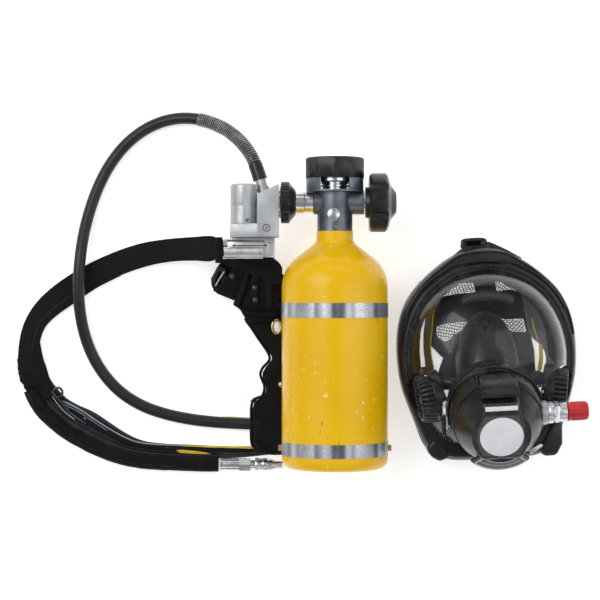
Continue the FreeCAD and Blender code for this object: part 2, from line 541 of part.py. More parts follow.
# ---- harness ----
def make_harness():
    node("upper_belt", ribbon(UPPER_BELT, BELT_THICK))
    node("lower_belt", ribbon(LOWER_BELT, BELT_THICK))
    fold = Part.makePolygon([V(x, -160, z) for x, z in PAD_FOLD + PAD_FOLD[:1]])
    slab = Part.Face(fold).extrude(V(0, 200, 0))
    pad = slab.common(prism(PAD_OUTLINE, (-1.0, 40.0)))
    eyelet_x, eyelet_y = -18.6, -15.0
    hole = Part.Face(oval(3.6, 6.4, eyelet_x, eyelet_y, 10.0)).extrude(V(0, 0, 30))
    vent = rod_z(2.6, (10.0, 40.0), -37.8, -120.1)
    node("back_pad", pad.cut(hole).cut(vent))
    rim = Part.Face(oval(5.0, 7.8, eyelet_x, eyelet_y, 27.6)).extrude(V(0, 0, 1.4))
    stud = rod_z(3.2, (27.6, 29.8), -13.6, -75.0)
    rivet = rod_z(3.0, (POUCH_Z[1] + 0.1, POUCH_Z[1] + 1.8), -66.0, 38.4)
    snap = rod_z(3.6, (POUCH_Z[1] + 0.1, POUCH_Z[1] + 2.2), -41.6, 26.6)
    second = rod_z(3.6, (POUCH_Z[1] + 0.1, POUCH_Z[1] + 2.2), -41.2, 13.6)
    third = rod_z(3.0, (POUCH_Z[1] + 0.1, POUCH_Z[1] + 1.8), -24.6, 11.6)
    ring = Part.makeTorus(5.2, 1.3, V(-256.0, -86.6, 5.6), V(0, 0, 1))
    hooks = [rod_z(2.6, (4.2, 8.0), -245.4, -104.4), rod_z(2.6, (4.2, 8.0), -226.4, -115.0)]
    node("harness_studs", rim.cut(hole), stud, rivet, snap, second, third, ring, *hooks)

    pouch = prism(POUCH_OUTLINE, POUCH_Z)
    node("pouch", pouch)
    frame = prism([(-89.0, 36.0), (-82.0, 50.0), (-73.4, 47.0), (-72.6, 26.0), (-86.0, 22.0)],
                  (20.0, 26.0))
    slot = prism([(-84.4, 34.0), (-80.6, 44.0), (-77.4, 43.0), (-77.4, 28.0), (-82.0, 26.8)],
                 (19.0, 27.0))
    node("strap_adjuster", frame.cut(slot))
    node("side_strap", ribbon([((-27.6, 57.0), (-44.0, 57.0), 40.9), ((-12.0, 48.0), (-40.0, 36.0), 35.4),
                               ((-12.6, 36.0), (-34.0, 33.0), 35.4)], 1.8))


# ---- face mask ----
def voicemitter_frame(shape, side):
    outward = V(side * 0.93, -0.14, 0.34)
    return placed(shape, (side * 66.0, -43.0, 78.0), outward, (0, 1, 0))


def make_mask():
    seal = dome(SEAL_HALF, [(0.90, 15.0), (0.985, 25.0), (1.0, 38.0), (0.99, 49.0), (0.955, 57.0)])
    room = dome(SEAL_HALF, [(0.74, 14.9), (0.86, 24.0), (0.925, 38.0), (0.915, 49.0), (0.86, 57.1)])
    levels = [(1.0, 57.2), (1.0, 63.0), (0.965, 75.0), (0.885, 89.0), (0.76, 100.0), (0.58, 108.0),
              (0.36, 112.6), (0.14, 114.4)]
    whole = dome(LENS_HALF, levels)
    inner = dome(LENS_HALF, [(k - 0.03, z - (0.3 if z < 60 else 1.6)) for k, z in levels])
    port_hole = on_port(rod_z(PORT_R, (-60.0, 40.0)))
    ear_holes = [voicemitter_frame(rod_z(27.2, (-14.0, 60.0)), side) for side in (-1, 1)]
    rim = Part.Face(outline(LENS_HALF, 1.065, 57.2)).extrude(V(0, 0, 7.0))
    rim = rim.cut(whole).cut(Part.Face(outline(LENS_HALF, 0.99, 57.0)).extrude(V(0, 0, 9.0)))
    lens = whole.cut(inner)
    for hole in [port_hole] + ear_holes:
        lens = lens.cut(hole)
        rim = rim.cut(hole)
        seal = seal.cut(hole)
    node("face_seal", in_mask(seal.cut(room)))
    node("lens", in_mask(max(lens.Solids, key=lambda s: s.Volume)))
    node("lens_frame", in_mask(rim))

    port = turned([(SPIGOT_R + RUNNING, -20.0), (PORT_R - 0.1, -20.0), (PORT_R - 0.1, -1.0),
                   (PORT_R - 1.1, -0.1), (SPIGOT_R + RUNNING, -0.1)])
    port = on_port(port)
    for hole in ear_holes:
        port = port.cut(hole)
    node("mask_port", in_mask(port))
    clip = on_port(box((-53.6, -48.2), (-20.0, 13.0), (-13.0, 2.0)).cut(
        rod_x(2.2, (-57.0, -47.0), -8.0, -4.0)))
    for hole in ear_holes + [whole]:
        clip = clip.cut(hole)
    node("port_clip", in_mask(max(clip.Solids, key=lambda s: s.Volume)))

    housings, discs = [], []
    for side in (-1, 1):
        shell = turned([(17.0, -12.0), (27.0, -12.0), (27.0, 4.0), (24.0, 8.0), (20.0, 8.0),
                        (20.0, 2.0), (17.0, 2.0)])
        disc = rod_z(19.9, (2.1, 6.4))
        for ring in range(2):
            for k in range(6 * (ring + 1)):
                angle = math.radians(60.0 * k / (ring + 1))
                reach = 7.2 * (ring + 1)
                x, y = reach * math.cos(angle), reach * math.sin(angle)
                disc = disc.cut(rod_z(1.7, (2.0, 7.0), x, y))
        housings.append(in_mask(voicemitter_frame(shell, side)))
        discs.append(in_mask(voicemitter_frame(disc, side)))
    node("voicemitter_housings", *housings)
    node("voicemitter_discs", *discs)

    cup_out = Part.makeLoft([oval(rx, ry, 0, y, z) for rx, ry, y, z in CUP_LEVELS], True, False)
    cup_in = Part.makeLoft([oval(rx - 2.4, ry - 2.4, 0, y, z - (0.1 if z < 50 else 1.0))
                            for rx, ry, y, z in CUP_LEVELS], True, False)
    vents = on_port(rod_z(9.0, (-60.0, 0.0), 0.0, 6.0))
    cup = cup_out.cut(cup_in).cut(vents)
    for hole in ear_holes:
        cup = cup.cut(hole)
    node("nose_cup", in_mask(max(cup.Solids, key=lambda s: s.Volume)))

    net = Part.Face(oval(52.0, 46.0, 0, 26, 0.0)).extrude(V(0, 0, 2.0))
    arms = [((60.0, 62.0), (34.0, 46.0)), ((-60.0, 62.0), (-34.0, 46.0)),
            ((62.0, -46.0), (30.0, -2.0)), ((-62.0, -46.0), (-30.0, -2.0)), ((0.0, 92.0), (0.0, 60.0))]
    buckles = []
    for (tx, ty), (rx, ry) in arms:
        along = V(tx - rx, ty - ry, 0).normalize()
        side = V(-along.y, along.x, 0) * 9.0
        root, tip = V(rx, ry, 0), V(tx, ty, 12.0)
        loops = []
        for spot in (root, V(*(root + (tip - root) * 0.5)) - V(0, 0, 4.5), tip):
            low = V(spot.x, spot.y, max(spot.z, 0.0))
            corners = [low + side, low - side, low - side + V(0, 0, 2), low + side + V(0, 0, 2)]
            loops.append(Part.makePolygon(corners + corners[:1]))
        net = net.fuse(Part.makeLoft(loops, True, True))
        frame = box((-12.0, 12.0), (0.4, 13.0), (0.0, 3.0)).cut(box((-9.0, 9.0), (3.0, 9.4), (-1.0, 4.0)))
        buckles.append(in_mask(placed(frame, (tx, ty, 11.4), (0, 0, 1), (along.y, -along.x, 0))))
    node("head_net", in_mask(net.removeSplitter()))
    tab = box((-19.0, 4.6), (102.0, 121.0), (36.0, 42.0)).cut(seal)
    tab = tab.cut(box((-14.6, 0.2), (112.8, 118.0), (35.0, 43.0)))
    buckles.append(in_mask(max(tab.Solids, key=lambda s: s.Volume)))
    node("strap_buckles", *buckles)


def make_regulator():
    shell = turned([(30.0, -14.0), (SPIGOT_R, -14.0), (SPIGOT_R, 0.3), (DRUM_R - 1.0, 0.3),
                    (DRUM_R, 1.3), (DRUM_R, 19.0), (44.0, 24.0), (44.0, 27.0), (30.0, 27.0),
                    (30.0, 24.0), (41.0, 21.0), (41.0, 4.0), (30.0, 3.0)])
    boss = rod_x(11.0, (38.0, 52.0), 0.0, KNOB_RISE).cut(rod_z(41.0, (4.0, 21.0)))
    pocket = box((-19.3, 19.3), (35.0, 60.0), (4.0, 21.4))
    union_bore = rod_x(8.0, (36.0, 53.0), 0.0, KNOB_RISE)
    shell = shell.fuse(boss).cut(pocket).cut(union_bore)
    pad_room = box((-19.3, 19.3), (42.6, 60.0), (21.3, 34.0))
    shell = shell.cut(pad_room)
    shell = shell.fuse(box((-20.0, 20.0), (36.4, 37.6), (3.0, 22.0)).common(rod_z(42.0, (3.0, 22.0))))
    lip = turned([(DRUM_R - 1.0, 9.0), (54.6, 13.0), (55.6, 16.0), (54.6, 19.0), (DRUM_R - 1.0, 21.0)])
    wedge = prism([(0.0, -20.0), (32.0, -60.0), (-32.0, -60.0)], (8.0, 22.0))
    shell = shell.fuse(lip.common(wedge))
    node("regulator_body", in_mask(on_port(shell)))

    button = prism(BUTTON_SIDE, (-19.0, 19.0))
    button = placed(button, (0, 0, 0), (1, 0, 0), (0, 1, 0))
    node("donning_button", in_mask(on_port(button.removeSplitter())))

    union = turned([(3.2, 37.0), (7.9, 37.0), (7.9, 52.2), (10.6, 52.2), (10.6, 58.0), (9.0, 59.0),
                    (9.0, 64.0), (10.2, 65.0), (10.2, 71.8), (3.2, 71.8)])
    node("inlet_union", in_mask(on_port(placed(union, (0, 0, KNOB_RISE), (1, 0, 0), (0, 0, 1)))))
    knob = rod_z(9.8, (72.2, 92.6)).fuse(rod_z(8.6, (92.6, 94.0)))
    for k in range(12):
        angle = math.radians(30.0 * k)
        knob = knob.cut(rod_z(1.1, (76.0, 95.0), 10.0 * math.cos(angle), 10.0 * math.sin(angle)))
    knob = knob.fuse(rod_z(3.2 - RUNNING, (56.0, 72.4)))
    knob = placed(knob.removeSplitter(), (0, 0, KNOB_RISE), (1, 0, 0), (0, 0, 1))
    node("purge_knob", in_mask(on_port(knob)))

    cover = turned([(0.0, 57.0), (24.0, 57.0), (30.0, 55.6), (38.4, 42.0), (44.4, 31.0), (44.4, 27.1),
                    (41.0, 27.1), (35.6, 40.6), (28.4, 53.0), (0.0, 54.0)])
    node("regulator_cover", in_mask(on_port(cover.cut(pad_room))))
    diaphragm = turned([(0.0, 32.0), (12.0, 32.0), (14.0, 30.0), (38.4, 29.0), (38.4, 30.4),
                        (15.0, 31.6), (12.6, 33.6), (0.0, 33.6)])
    node("demand_diaphragm", in_mask(on_port(diaphragm)))


def main():
    make_bottle()
    make_valve()
    make_handwheel()
    make_reducer(make_outlet())
    make_clip()
    make_hoses()
    make_harness()
    make_mask()
    make_regulator()


main()
os.makedirs("parts", exist_ok=True)
for name, shape in NODES.items():
    shape.exportStep("parts/%s.step" % name)
print(len(NODES), "nodes")
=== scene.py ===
import math

import bmesh
import bpy
import numpy as np
from mathutils import Matrix, Vector, noise as field


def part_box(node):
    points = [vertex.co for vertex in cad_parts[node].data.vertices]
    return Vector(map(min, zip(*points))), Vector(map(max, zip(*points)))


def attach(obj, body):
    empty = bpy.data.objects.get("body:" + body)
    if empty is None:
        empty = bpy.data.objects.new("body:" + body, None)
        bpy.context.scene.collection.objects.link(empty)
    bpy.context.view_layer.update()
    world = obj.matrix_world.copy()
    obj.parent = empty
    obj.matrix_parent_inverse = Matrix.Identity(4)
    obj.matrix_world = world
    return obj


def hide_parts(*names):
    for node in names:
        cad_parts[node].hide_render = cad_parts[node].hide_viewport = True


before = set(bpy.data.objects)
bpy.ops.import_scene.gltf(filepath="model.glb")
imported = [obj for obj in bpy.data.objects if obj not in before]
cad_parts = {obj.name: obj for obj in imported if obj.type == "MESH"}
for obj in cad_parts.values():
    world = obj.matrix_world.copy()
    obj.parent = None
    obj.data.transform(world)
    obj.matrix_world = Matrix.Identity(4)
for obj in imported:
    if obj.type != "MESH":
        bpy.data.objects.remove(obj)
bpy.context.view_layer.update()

MM = 0.001
ROOT = "bottle_and_harness"
WORLD_BASE, FLOOR_GLOW = 0.26, 0.55  # even light from all round, and the floor's own

# ---- where things are, in millimetres in the row frame ----
BOTTLE_X, AXIS_Z = 43, 66.5  # the bottle's axis
HOSE_R = 6.35
EYELET = (-18.6, -15)  # the brass eyelet in the back pad
PAD_EDGE_Z = 27.0
MASK_FRAME = Matrix.Translation((0.2045, -0.0415, 0)) @ Matrix.Rotation(math.radians(3), 4, "Z")
PORT_FRAME = MASK_FRAME @ Matrix.Translation((0, -0.058, 0.1)) @ Matrix.Rotation(math.radians(25), 4, "X")
HOSE_ROUTE = [
    (-35.4, 140.2, 58), (-39.6, 154.3, 57), (-46.4, 169, 52.5), (-57.8, 183.8, 43),
    (-73.7, 196.9, 31), (-93.6, 206.3, 19.5), (-115.6, 210.7, 11), (-138.6, 208.4, 7),
    (-161.4, 198.9, 6.6), (-183, 181.9, 6.6), (-200.4, 159.2, 6.6), (-213.3, 133.7, 6.6),
    (-222.3, 106.5, 9), (-228.1, 78.2, 16), (-231.1, 47.9, 21.5), (-231.8, 18.9, 21.5),
    (-229.4, -10.2, 15.5), (-222.3, -38.4, 8.5), (-209, -63.9, 6.6), (-190.1, -85.3, 6.6),
    (-166.8, -100.5, 6.6), (-141.3, -109.7, 6.6), (-114.8, -115.4, 6.6), (-88.8, -118.6, 6.6),
    (-62.8, -120.1, 6.6), (-41.2, -121, 7.4), (-24, -121.4, 9.2),
]  # control points, from the elbow
AIRLINE_ROUTE = [
    (-285.2, -83.6, 8), (-279.2, -99.1, 8), (-264.1, -115.3, 8), (-250, -127.2, 8),
    (-233.8, -136.9, 8), (-215.4, -146.7, 8), (-195, -155, 8), (-171, -160.7, 8),
    (-145, -162.9, 8), (-116, -164, 8), (-80.3, -164.6, 8),
]

# belts: outer edge, inner edge and underside height at each section
UPPER_BELT = [
    ((-42, 73.4), (-42, 61.4), 47), ((-74, 74.4), (-76, 60.4), 46),
    ((-86, 81.3), (-88, 54.6), 42), ((-107.4, 80.9), (-107.4, 55.4), 32),
    ((-137.6, 79), (-131, 54.8), 17), ((-167.6, 74.4), (-157.7, 50.3), 6),
    ((-197.8, 64.4), (-187.7, 40.3), 1), ((-227.9, 50.3), (-214, 27), 0),
    ((-256, 32.4), (-240, 9.6), 0), ((-276, 15), (-259, -4.2), 0),
    ((-289, -2.8), (-270, -16), 0), ((-296.4, -22), (-275.6, -31), 0),
    ((-299.6, -46), (-277.6, -46), 0), ((-299.4, -68), (-271, -56), 0),
]
LOWER_BELT = [
    ((-299.2, -70), (-269.4, -57.6), 0), ((-291, -74.4), (-267.5, -64), 0),
    ((-276.4, -80), (-263.5, -74), 0), ((-269.2, -94.6), (-249.6, -90.6), 0),
    ((-247.4, -114.6), (-235.4, -99.8), 0),
    ((-226.4, -128), (-215.6, -109), 0), ((-200, -140.8), (-186.5, -128.4), 0),
    ((-176, -149.2), (-167, -138), 0), ((-147, -152.6), (-146, -141.8), 0),
    ((-107, -154.4), (-107, -143.8), 0), ((-67, -154.6), (-67, -145.6), 0),
    ((-46, -153.6), (-46, -146.2), 0), ((-28, -152), (-28, -145.4), 0),
]
# right halves of the face seal's and the lens's outlines, in the mask's frame
SEAL_HALF = [
    (20, 108.5), (43, 96.5), (64, 80), (80, 62), (90, 41), (94.5, 18),
    (95, -6), (92.6, -30), (86, -54), (78, -78), (70, -98), (54, -110),
    (28, -114),
]
LENS_HALF = [
    (20, 84.5), (41, 76), (59, 62.5), (72, 45), (80, 25), (84, 4),
    (83.6, -16), (79, -38), (70, -62), (59, -82), (43, -94), (22, -98),
]


# ---- camera, light and floor ----
def make_stage():
    """The camera, the lights and the sheet that the set lies on."""
    scene = bpy.context.scene
    scene.view_settings.view_transform = "Standard"
    camera = bpy.data.objects.new("camera", bpy.data.cameras.new("camera"))
    camera.location = (0.0065, 0.0135, 1.956)
    camera.data.lens = 108
    camera.data.sensor_width = 36
    camera.data.clip_start = 0.01
    scene.collection.objects.link(camera)
    scene.camera = camera

    world = bpy.data.worlds.new("studio")
    scene.world = world
    world.use_nodes = True
    graph = world.node_tree
    ray = add(graph, "TexCoord").outputs["Generated"]
    left = glow(graph, ray, (-0.6, 0.25, 0.75), 0.80, 0.97, 0.9)
    right = glow(graph, ray, (0.8, 0.1, 0.6), 0.62, 0.98, 0.45)
    base = maths(graph, "ADD", maths(graph, "ADD", left, right), WORLD_BASE)
    graph.nodes["Background"].inputs["Color"].default_value = (0.94, 0.97, 1, 1)
    graph.links.new(base, graph.nodes["Background"].inputs["Strength"])

    lights = [  # name, place, size, power
        ("key", (-0.75, 0.55, 1.35), (0.9, 0.9), 7),
        ("fill", (0.95, 0.1, 1.15), (0.5, 1.4), 2.4),
        ("low", (0.1, -1.1, 0.9), (1.5, 0.4), 1.8),
        ("back", (0.2, 1.3, 0.8), (1.4, 0.4), 2),
    ]
    for name, place, size, power in lights:
        data = bpy.data.lights.new(name, "AREA")
        data.shape = "RECTANGLE"
        data.size, data.size_y = size
        data.energy = power
        lamp = bpy.data.objects.new(name, data)
        lamp.location = place
        aim = Vector((0.02, 0, 0.03)) - Vector(place)
        lamp.rotation_euler = aim.to_track_quat("-Z", "Y").to_euler()
        scene.collection.objects.link(lamp)

    data = bpy.data.meshes.new("floor")
    data.from_pydata([(-4, -4, 0), (4, -4, 0), (4, 4, 0), (-4, 4, 0)], [], [(0, 1, 2, 3)])
    floor = bpy.data.objects.new("floor", data)
    scene.collection.objects.link(floor)
    mat, graph, shader = material("floor_paper", (0.95, 0.95, 0.95), 0.9)
    shader.inputs["Emission Color"].default_value = (1, 1, 1, 1)
    shader.inputs["Emission Strength"].default_value = FLOOR_GLOW
    fine = noise(graph, coords(graph), 3, 3)
    link_color(graph, shader, fine, (0.94, 0.94, 0.94), (0.96, 0.96, 0.96))
    data.materials.append(mat)


# ---- material building blocks ----
def glow(graph, ray, toward, low, high, power):
    """Soft light from one side of the sky."""
    toward = Vector(toward).normalized()
    facing = add(graph, "VectorMath", {0: ray, 1: toward}, operation="DOT_PRODUCT").outputs["Value"]
    item = add(graph, "MapRange", {"Value": facing, "From Min": low, "From Max": high, "To Max": power},
               interpolation_type="SMOOTHERSTEP")
    return item.outputs["Result"]


def add(graph, kind, inputs=None, **settings):
    """One shader node. Each input is a number, a colour, or another node's output."""
    item = graph.nodes.new("ShaderNode" + kind)
    for key, value in settings.items():
        setattr(item, key, value)
    for key, value in (inputs or {}).items():
        if isinstance(value, bpy.types.NodeSocket):
            graph.links.new(value, item.inputs[key])
        else:
            item.inputs[key].default_value = value
    return item


def material(name, color, rough, metal=0.0, sockets=None):
    """A new material, its node tree and its shader."""
    mat = bpy.data.materials.new(name)
    mat.use_nodes = True
    graph = mat.node_tree
    shader = graph.nodes["Principled BSDF"]
    shader.inputs["Base Color"].default_value = (*color, 1)
    shader.inputs["Roughness"].default_value = rough
    shader.inputs["Metallic"].default_value = metal
    for key, value in (sockets or {}).items():
        shader.inputs[key].default_value = value
    return mat, graph, shader


def coords(graph, kind="Object", scale=(1, 1, 1), turn=(0, 0, 0)):
    out = add(graph, "TexCoord").outputs[kind]
    return add(graph, "Mapping", {"Vector": out, "Scale": scale, "Rotation": turn}).outputs[0]


def noise(graph, vector, scale, detail=2.0, rough=0.5):
    item = add(graph, "TexNoise", {"Vector": vector, "Scale": scale, "Detail": detail, "Roughness": rough})
    return item.outputs["Fac"]


def ranged(graph, value, low, high, to_low=0.0, to_high=1.0):
    item = add(graph, "MapRange", {"Value": value, "From Min": low, "From Max": high,
                                   "To Min": to_low, "To Max": to_high})
    return item.outputs["Result"]


def maths(graph, operation, a, b=0.0):
    return add(graph, "Math", {0: a, 1: b}, operation=operation).outputs[0]


def mixed(graph, amount, first, second):
    """A blend of two colours. Sockets 0, 6 and 7 are its factor and its colours."""
    ends = [value if isinstance(value, bpy.types.NodeSocket) else (*value, 1) for value in (first, second)]
    return add(graph, "Mix", {0: amount, 6: ends[0], 7: ends[1]}, data_type="RGBA").outputs[2]


def link_color(graph, shader, amount, first, second):
    graph.links.new(mixed(graph, amount, first, second), shader.inputs["Base Color"])


def link_rough(graph, shader, value, low, high):
    graph.links.new(ranged(graph, value, 0.3, 0.7, low, high), shader.inputs["Roughness"])


def link_bump(graph, shader, height, strength=0.4, distance=0.0003, below=None):
    inputs = {"Height": height, "Strength": strength, "Distance": distance}
    if below is not None:
        inputs["Normal"] = below
    graph.links.new(add(graph, "Bump", inputs).outputs["Normal"], shader.inputs["Normal"])


def worn(graph, shader, dark, light, scale, rough, grain, strength, depth):
    """Two-tone mottling, uneven gloss and a fine grain: the base of most finishes."""
    spot = coords(graph)
    broad = noise(graph, spot, scale, 4)
    link_color(graph, shader, ranged(graph, broad, 0.3, 0.7), dark, light)
    link_rough(graph, shader, noise(graph, spot, scale * 2.3, 3), *rough)
    link_bump(graph, shader, noise(graph, spot, grain, 3), strength, depth)


def woven(graph, a, b, threads):
    """Two sets of threads crossing along a and b, each from -1 to 1."""
    return [maths(graph, "SINE", maths(graph, "MULTIPLY", way, threads)) for way in (a, b)]


WORN = [  # finish, metal, darker, lighter, patches, roughness range, grain, strength, depth, other sockets
    ("brass", 1, (0.60, 0.40, 0.13), (0.86, 0.63, 0.26), 60, (0.22, 0.42), 900, 0.2, 0.0001, {}),
    ("bright_steel", 1, (0.60, 0.61, 0.62), (0.86, 0.86, 0.87), 60, (0.16, 0.30), 700, 0.02, 0.0001, {}),
    ("dark_metal", 1, (0.05, 0.05, 0.055), (0.14, 0.14, 0.15), 60, (0.28, 0.5), 900, 0.25, 0.0001, {}),
    ("polished_plate", 1, (0.56, 0.56, 0.57), (0.78, 0.78, 0.79), 60, (0.30, 0.44), 500, 0.03, 0.0001, {}),
    ("guard_wire", 1, (0.16, 0.16, 0.165), (0.50, 0.50, 0.51), 120, (0.25, 0.5), 900, 0.3, 0.0001, {}),
    ("grey_casting", 0.75, (0.10, 0.115, 0.14), (0.24, 0.265, 0.30), 34, (0.30, 0.52), 620, 0.2, 0.0002, {}),
    ("satin_silver", 0.55, (0.44, 0.45, 0.46), (0.58, 0.59, 0.60), 45, (0.36, 0.5), 1500, 0.2, 0.0001, {}),
    ("dial_white", 0, (0.82, 0.82, 0.79), (0.92, 0.92, 0.9), 80, (0.4, 0.6), 2000, 0.1, 0.00005, {}),
    ("label_white", 0, (0.78, 0.79, 0.80), (0.90, 0.90, 0.91), 40, (0.25, 0.42), 1400, 0.1, 0.00005, {}),
    ("red_knob", 0, (0.46, 0.010, 0.018), (0.74, 0.03, 0.045), 90, (0.3, 0.5), 900, 0.2, 0.0001, {}),
    ("thread", 0, (0.035, 0.035, 0.04), (0.11, 0.11, 0.12), 300, (0.5, 0.8), 2500, 0.5, 0.0001, {}),
    ("black_rubber", 0, (0.007, 0.007, 0.008), (0.022, 0.0225, 0.025), 38, (0.24, 0.40), 800, 0.3, 0.00015,
     {"Specular IOR Level": 0.4}),
    ("black_plastic", 0, (0.004, 0.004, 0.005), (0.018, 0.019, 0.021), 38, (0.20, 0.36), 1100, 0.35, 0.00015,
     {"Specular IOR Level": 0.4}),
    ("hose_black", 0, (0.008, 0.008, 0.008), (0.018, 0.018, 0.018), 38, (0.32, 0.46), 700, 0.15, 0.0001,
     {"Specular IOR Level": 0.4}),
    ("gloss", 0, (0.006, 0.006, 0.007), (0.018, 0.018, 0.020), 50, (0.18, 0.34), 260, 0.35, 0.0006,
     {"Coat Weight": 0.6, "Coat Roughness": 0.2}),
]
CLEAR = [  # finish, tint, refraction, size and detail of the haze, its roughness range
    ("clear_glass", (0.95, 0.97, 0.98), 1.47, 90, 3, (0.01, 0.07)),
    ("visor", (0.93, 0.95, 0.96), 1.3, 14, 4, (0, 0.05)),
]
WEBS = [  # finish, darker, lighter
    ("yellow_web", (0.62, 0.40, 0.01), (0.90, 0.66, 0.04)),
    ("brown_web", (0.085, 0.050, 0.026), (0.17, 0.11, 0.06)),
    ("pale_piping", (0.24, 0.29, 0.34), (0.44, 0.50, 0.55)),
]


def make_materials():
    """Every finish, by name."""
    mats = {}
    for name, metal, dark, light, patches, rough, grain, strength, depth, sockets in WORN:
        mats[name], graph, shader = material(name + "_finish", light, 0.4, metal, sockets)
        worn(graph, shader, dark, light, patches, rough, grain, strength, depth)
    for name, tint, bend, size, detail, rough in CLEAR:
        mats[name], graph, shader = material(name + "_finish", tint, 0.03, 0,
                                             {"IOR": bend, "Transmission Weight": 1.0})
        link_rough(graph, shader, noise(graph, coords(graph), size, detail), *rough)
    for name, dark, light in WEBS:
        mats[name], graph, shader = material(name + "_finish", light, 0.7)
        spot = coords(graph)
        threads = add(graph, "TexWave", {"Vector": spot, "Scale": 520, "Distortion": 2.0}).outputs["Fac"]
        patch = noise(graph, spot, 60, 3)
        tone = maths(graph, "MULTIPLY", ranged(graph, patch, 0.25, 0.7), ranged(graph, threads, 0, 1, 0.6, 1))
        link_color(graph, shader, tone, dark, light)
        link_rough(graph, shader, patch, 0.5, 0.8)
        link_bump(graph, shader, threads, 0.4, 0.0002)

    mat, graph, shader = material("yellow_enamel", (0.9, 0.6, 0.01), 0.28, 0, {
        "Coat Weight": 0.12, "Coat Roughness": 0.15, "Specular IOR Level": 0.28})
    spot = coords(graph)
    broad = noise(graph, spot, 9, 3)
    paint = mixed(graph, ranged(graph, broad, 0.3, 0.7), (0.90, 0.49, 0), (0.97, 0.58, 0.001))
    streaks = noise(graph, coords(graph, scale=(1, 0.22, 1)), 420, 2)
    chips = maths(graph, "MULTIPLY", ranged(graph, streaks, 0.71, 0.74),
                  ranged(graph, noise(graph, spot, 26, 2), 0.5, 0.62))
    color = mixed(graph, chips, paint, (0.42, 0.26, 0.03))
    specks = ranged(graph, noise(graph, coords(graph, scale=(1, 0.5, 1)), 300, 1), 0.735, 0.75)
    link_color(graph, shader, specks, color, (0.98, 0.85, 0.45))
    link_rough(graph, shader, noise(graph, spot, 30, 3), 0.20, 0.38)
    link_bump(graph, shader, noise(graph, spot, 380, 2), 0.10, 0.0002)
    mats["yellow_paint"] = mat

    mat, graph, shader = material("reflective_tape", (0.75, 0.77, 0.8), 0.35, 0.8)
    spot = coords(graph)
    cells = add(graph, "TexVoronoi", {"Vector": spot, "Scale": 700.0}, feature="DISTANCE_TO_EDGE").outputs[0]
    fine = ranged(graph, cells, 0.02, 0.12)
    # painted reflections: dark and light bands across x in the tape's base colour stand in for the
    # surroundings mirrored in it; the fine cells are the tape's own pattern
    reflection_band_mask = noise(graph, coords(graph, scale=(1, 0, 0.3)), 62, 1)
    painted_reflection_bands = mixed(graph, ranged(graph, reflection_band_mask, 0.42, 0.52), (0.09, 0.105, 0.13), (0.72, 0.73, 0.75))
    link_color(graph, shader, fine, (0.30, 0.31, 0.34), painted_reflection_bands)
    link_rough(graph, shader, noise(graph, spot, 40, 3), 0.22, 0.42)
    link_bump(graph, shader, fine, 0.2, 0.0001)
    mats["silver_tape"] = mat

    mat, graph, shader = material("black_webbing", (0.02, 0.02, 0.022), 0.75, 0, {
        "Specular IOR Level": 0.22, "Sheen Weight": 0.03, "Sheen Roughness": 0.4})
    across = add(graph, "SeparateXYZ", {"Vector": coords(graph, "UV")}).outputs
    warp, weft = woven(graph, maths(graph, "ADD", across[0], across[1]),
                       maths(graph, "SUBTRACT", across[0], across[1]), 2500)
    weave = maths(graph, "MULTIPLY", maths(graph, "ADD", warp, 1), maths(graph, "ADD", weft, 1))
    height = maths(graph, "MULTIPLY", weave, 0.25)
    fuzz = noise(graph, coords(graph), 260, 3)
    tone = maths(graph, "MULTIPLY", ranged(graph, fuzz, 0.25, 0.75), height)
    link_color(graph, shader, tone, (0.0015, 0.0015, 0.0018), (0.036, 0.037, 0.040))
    link_rough(graph, shader, fuzz, 0.6, 0.85)
    link_bump(graph, shader, height, 0.7, 0.0004)
    mats["woven_black"] = mat

    mat, graph, shader = material("black_fabric", (0.02, 0.02, 0.022), 0.8, 0, {
        "Specular IOR Level": 0.15, "Sheen Weight": 0.03, "Sheen Roughness": 0.45})
    spot = coords(graph, turn=(0.3, 0.2, 0.6))
    axes = add(graph, "SeparateXYZ", {"Vector": spot}).outputs
    height = maths(graph, "MULTIPLY", *woven(graph, axes[0], axes[1], 4200))
    fuzz = noise(graph, spot, 55, 4, 0.6)
    tone = maths(graph, "ADD", ranged(graph, fuzz, 0.25, 0.8), maths(graph, "MULTIPLY", height, 0.15))
    link_color(graph, shader, tone, (0.0015, 0.0015, 0.0018), (0.014, 0.0142, 0.0155))
    link_rough(graph, shader, fuzz, 0.65, 0.9)
    under = add(graph, "Bump", {"Height": fuzz, "Strength": 0.7, "Distance": 0.0025}).outputs["Normal"]
    link_bump(graph, shader, height, 0.35, 0.0003, under)
    mats["fabric"] = mat

    mat, graph, shader = material("hood_rubber", (0.05, 0.05, 0.052), 0.5)
    # painted reflection: the hood is coloured lighter grey towards larger x, standing in for the visor's
    # reflection over its right side; the grime noise only mottles it at random
    place = add(graph, "SeparateXYZ", {"Vector": coords(graph)}).outputs[0]
    grime = noise(graph, coords(graph), 30, 4)
    tone = maths(graph, "MULTIPLY", ranged(graph, place, 0.245, 0.285),
                 ranged(graph, grime, 0.2, 0.8, 0.7, 1))
    link_color(graph, shader, tone, (0.020, 0.020, 0.021), (0.16, 0.16, 0.165))
    link_rough(graph, shader, grime, 0.4, 0.7)
    link_bump(graph, shader, grime, 0.3, 0.0006)
    mats["hood"] = mat
    return mats


# ---- mesh building blocks, in millimetres ----
def lengths_along(path):
    """The length of a path up to each of its points."""
    steps = np.linalg.norm(np.diff(np.array(path, float), axis=0), axis=1)
    return np.concatenate([[0], np.cumsum(steps)])


def circle_angles(count):
    """Evenly spaced angles round a circle."""
    return np.arange(count) * 2 * math.pi / count


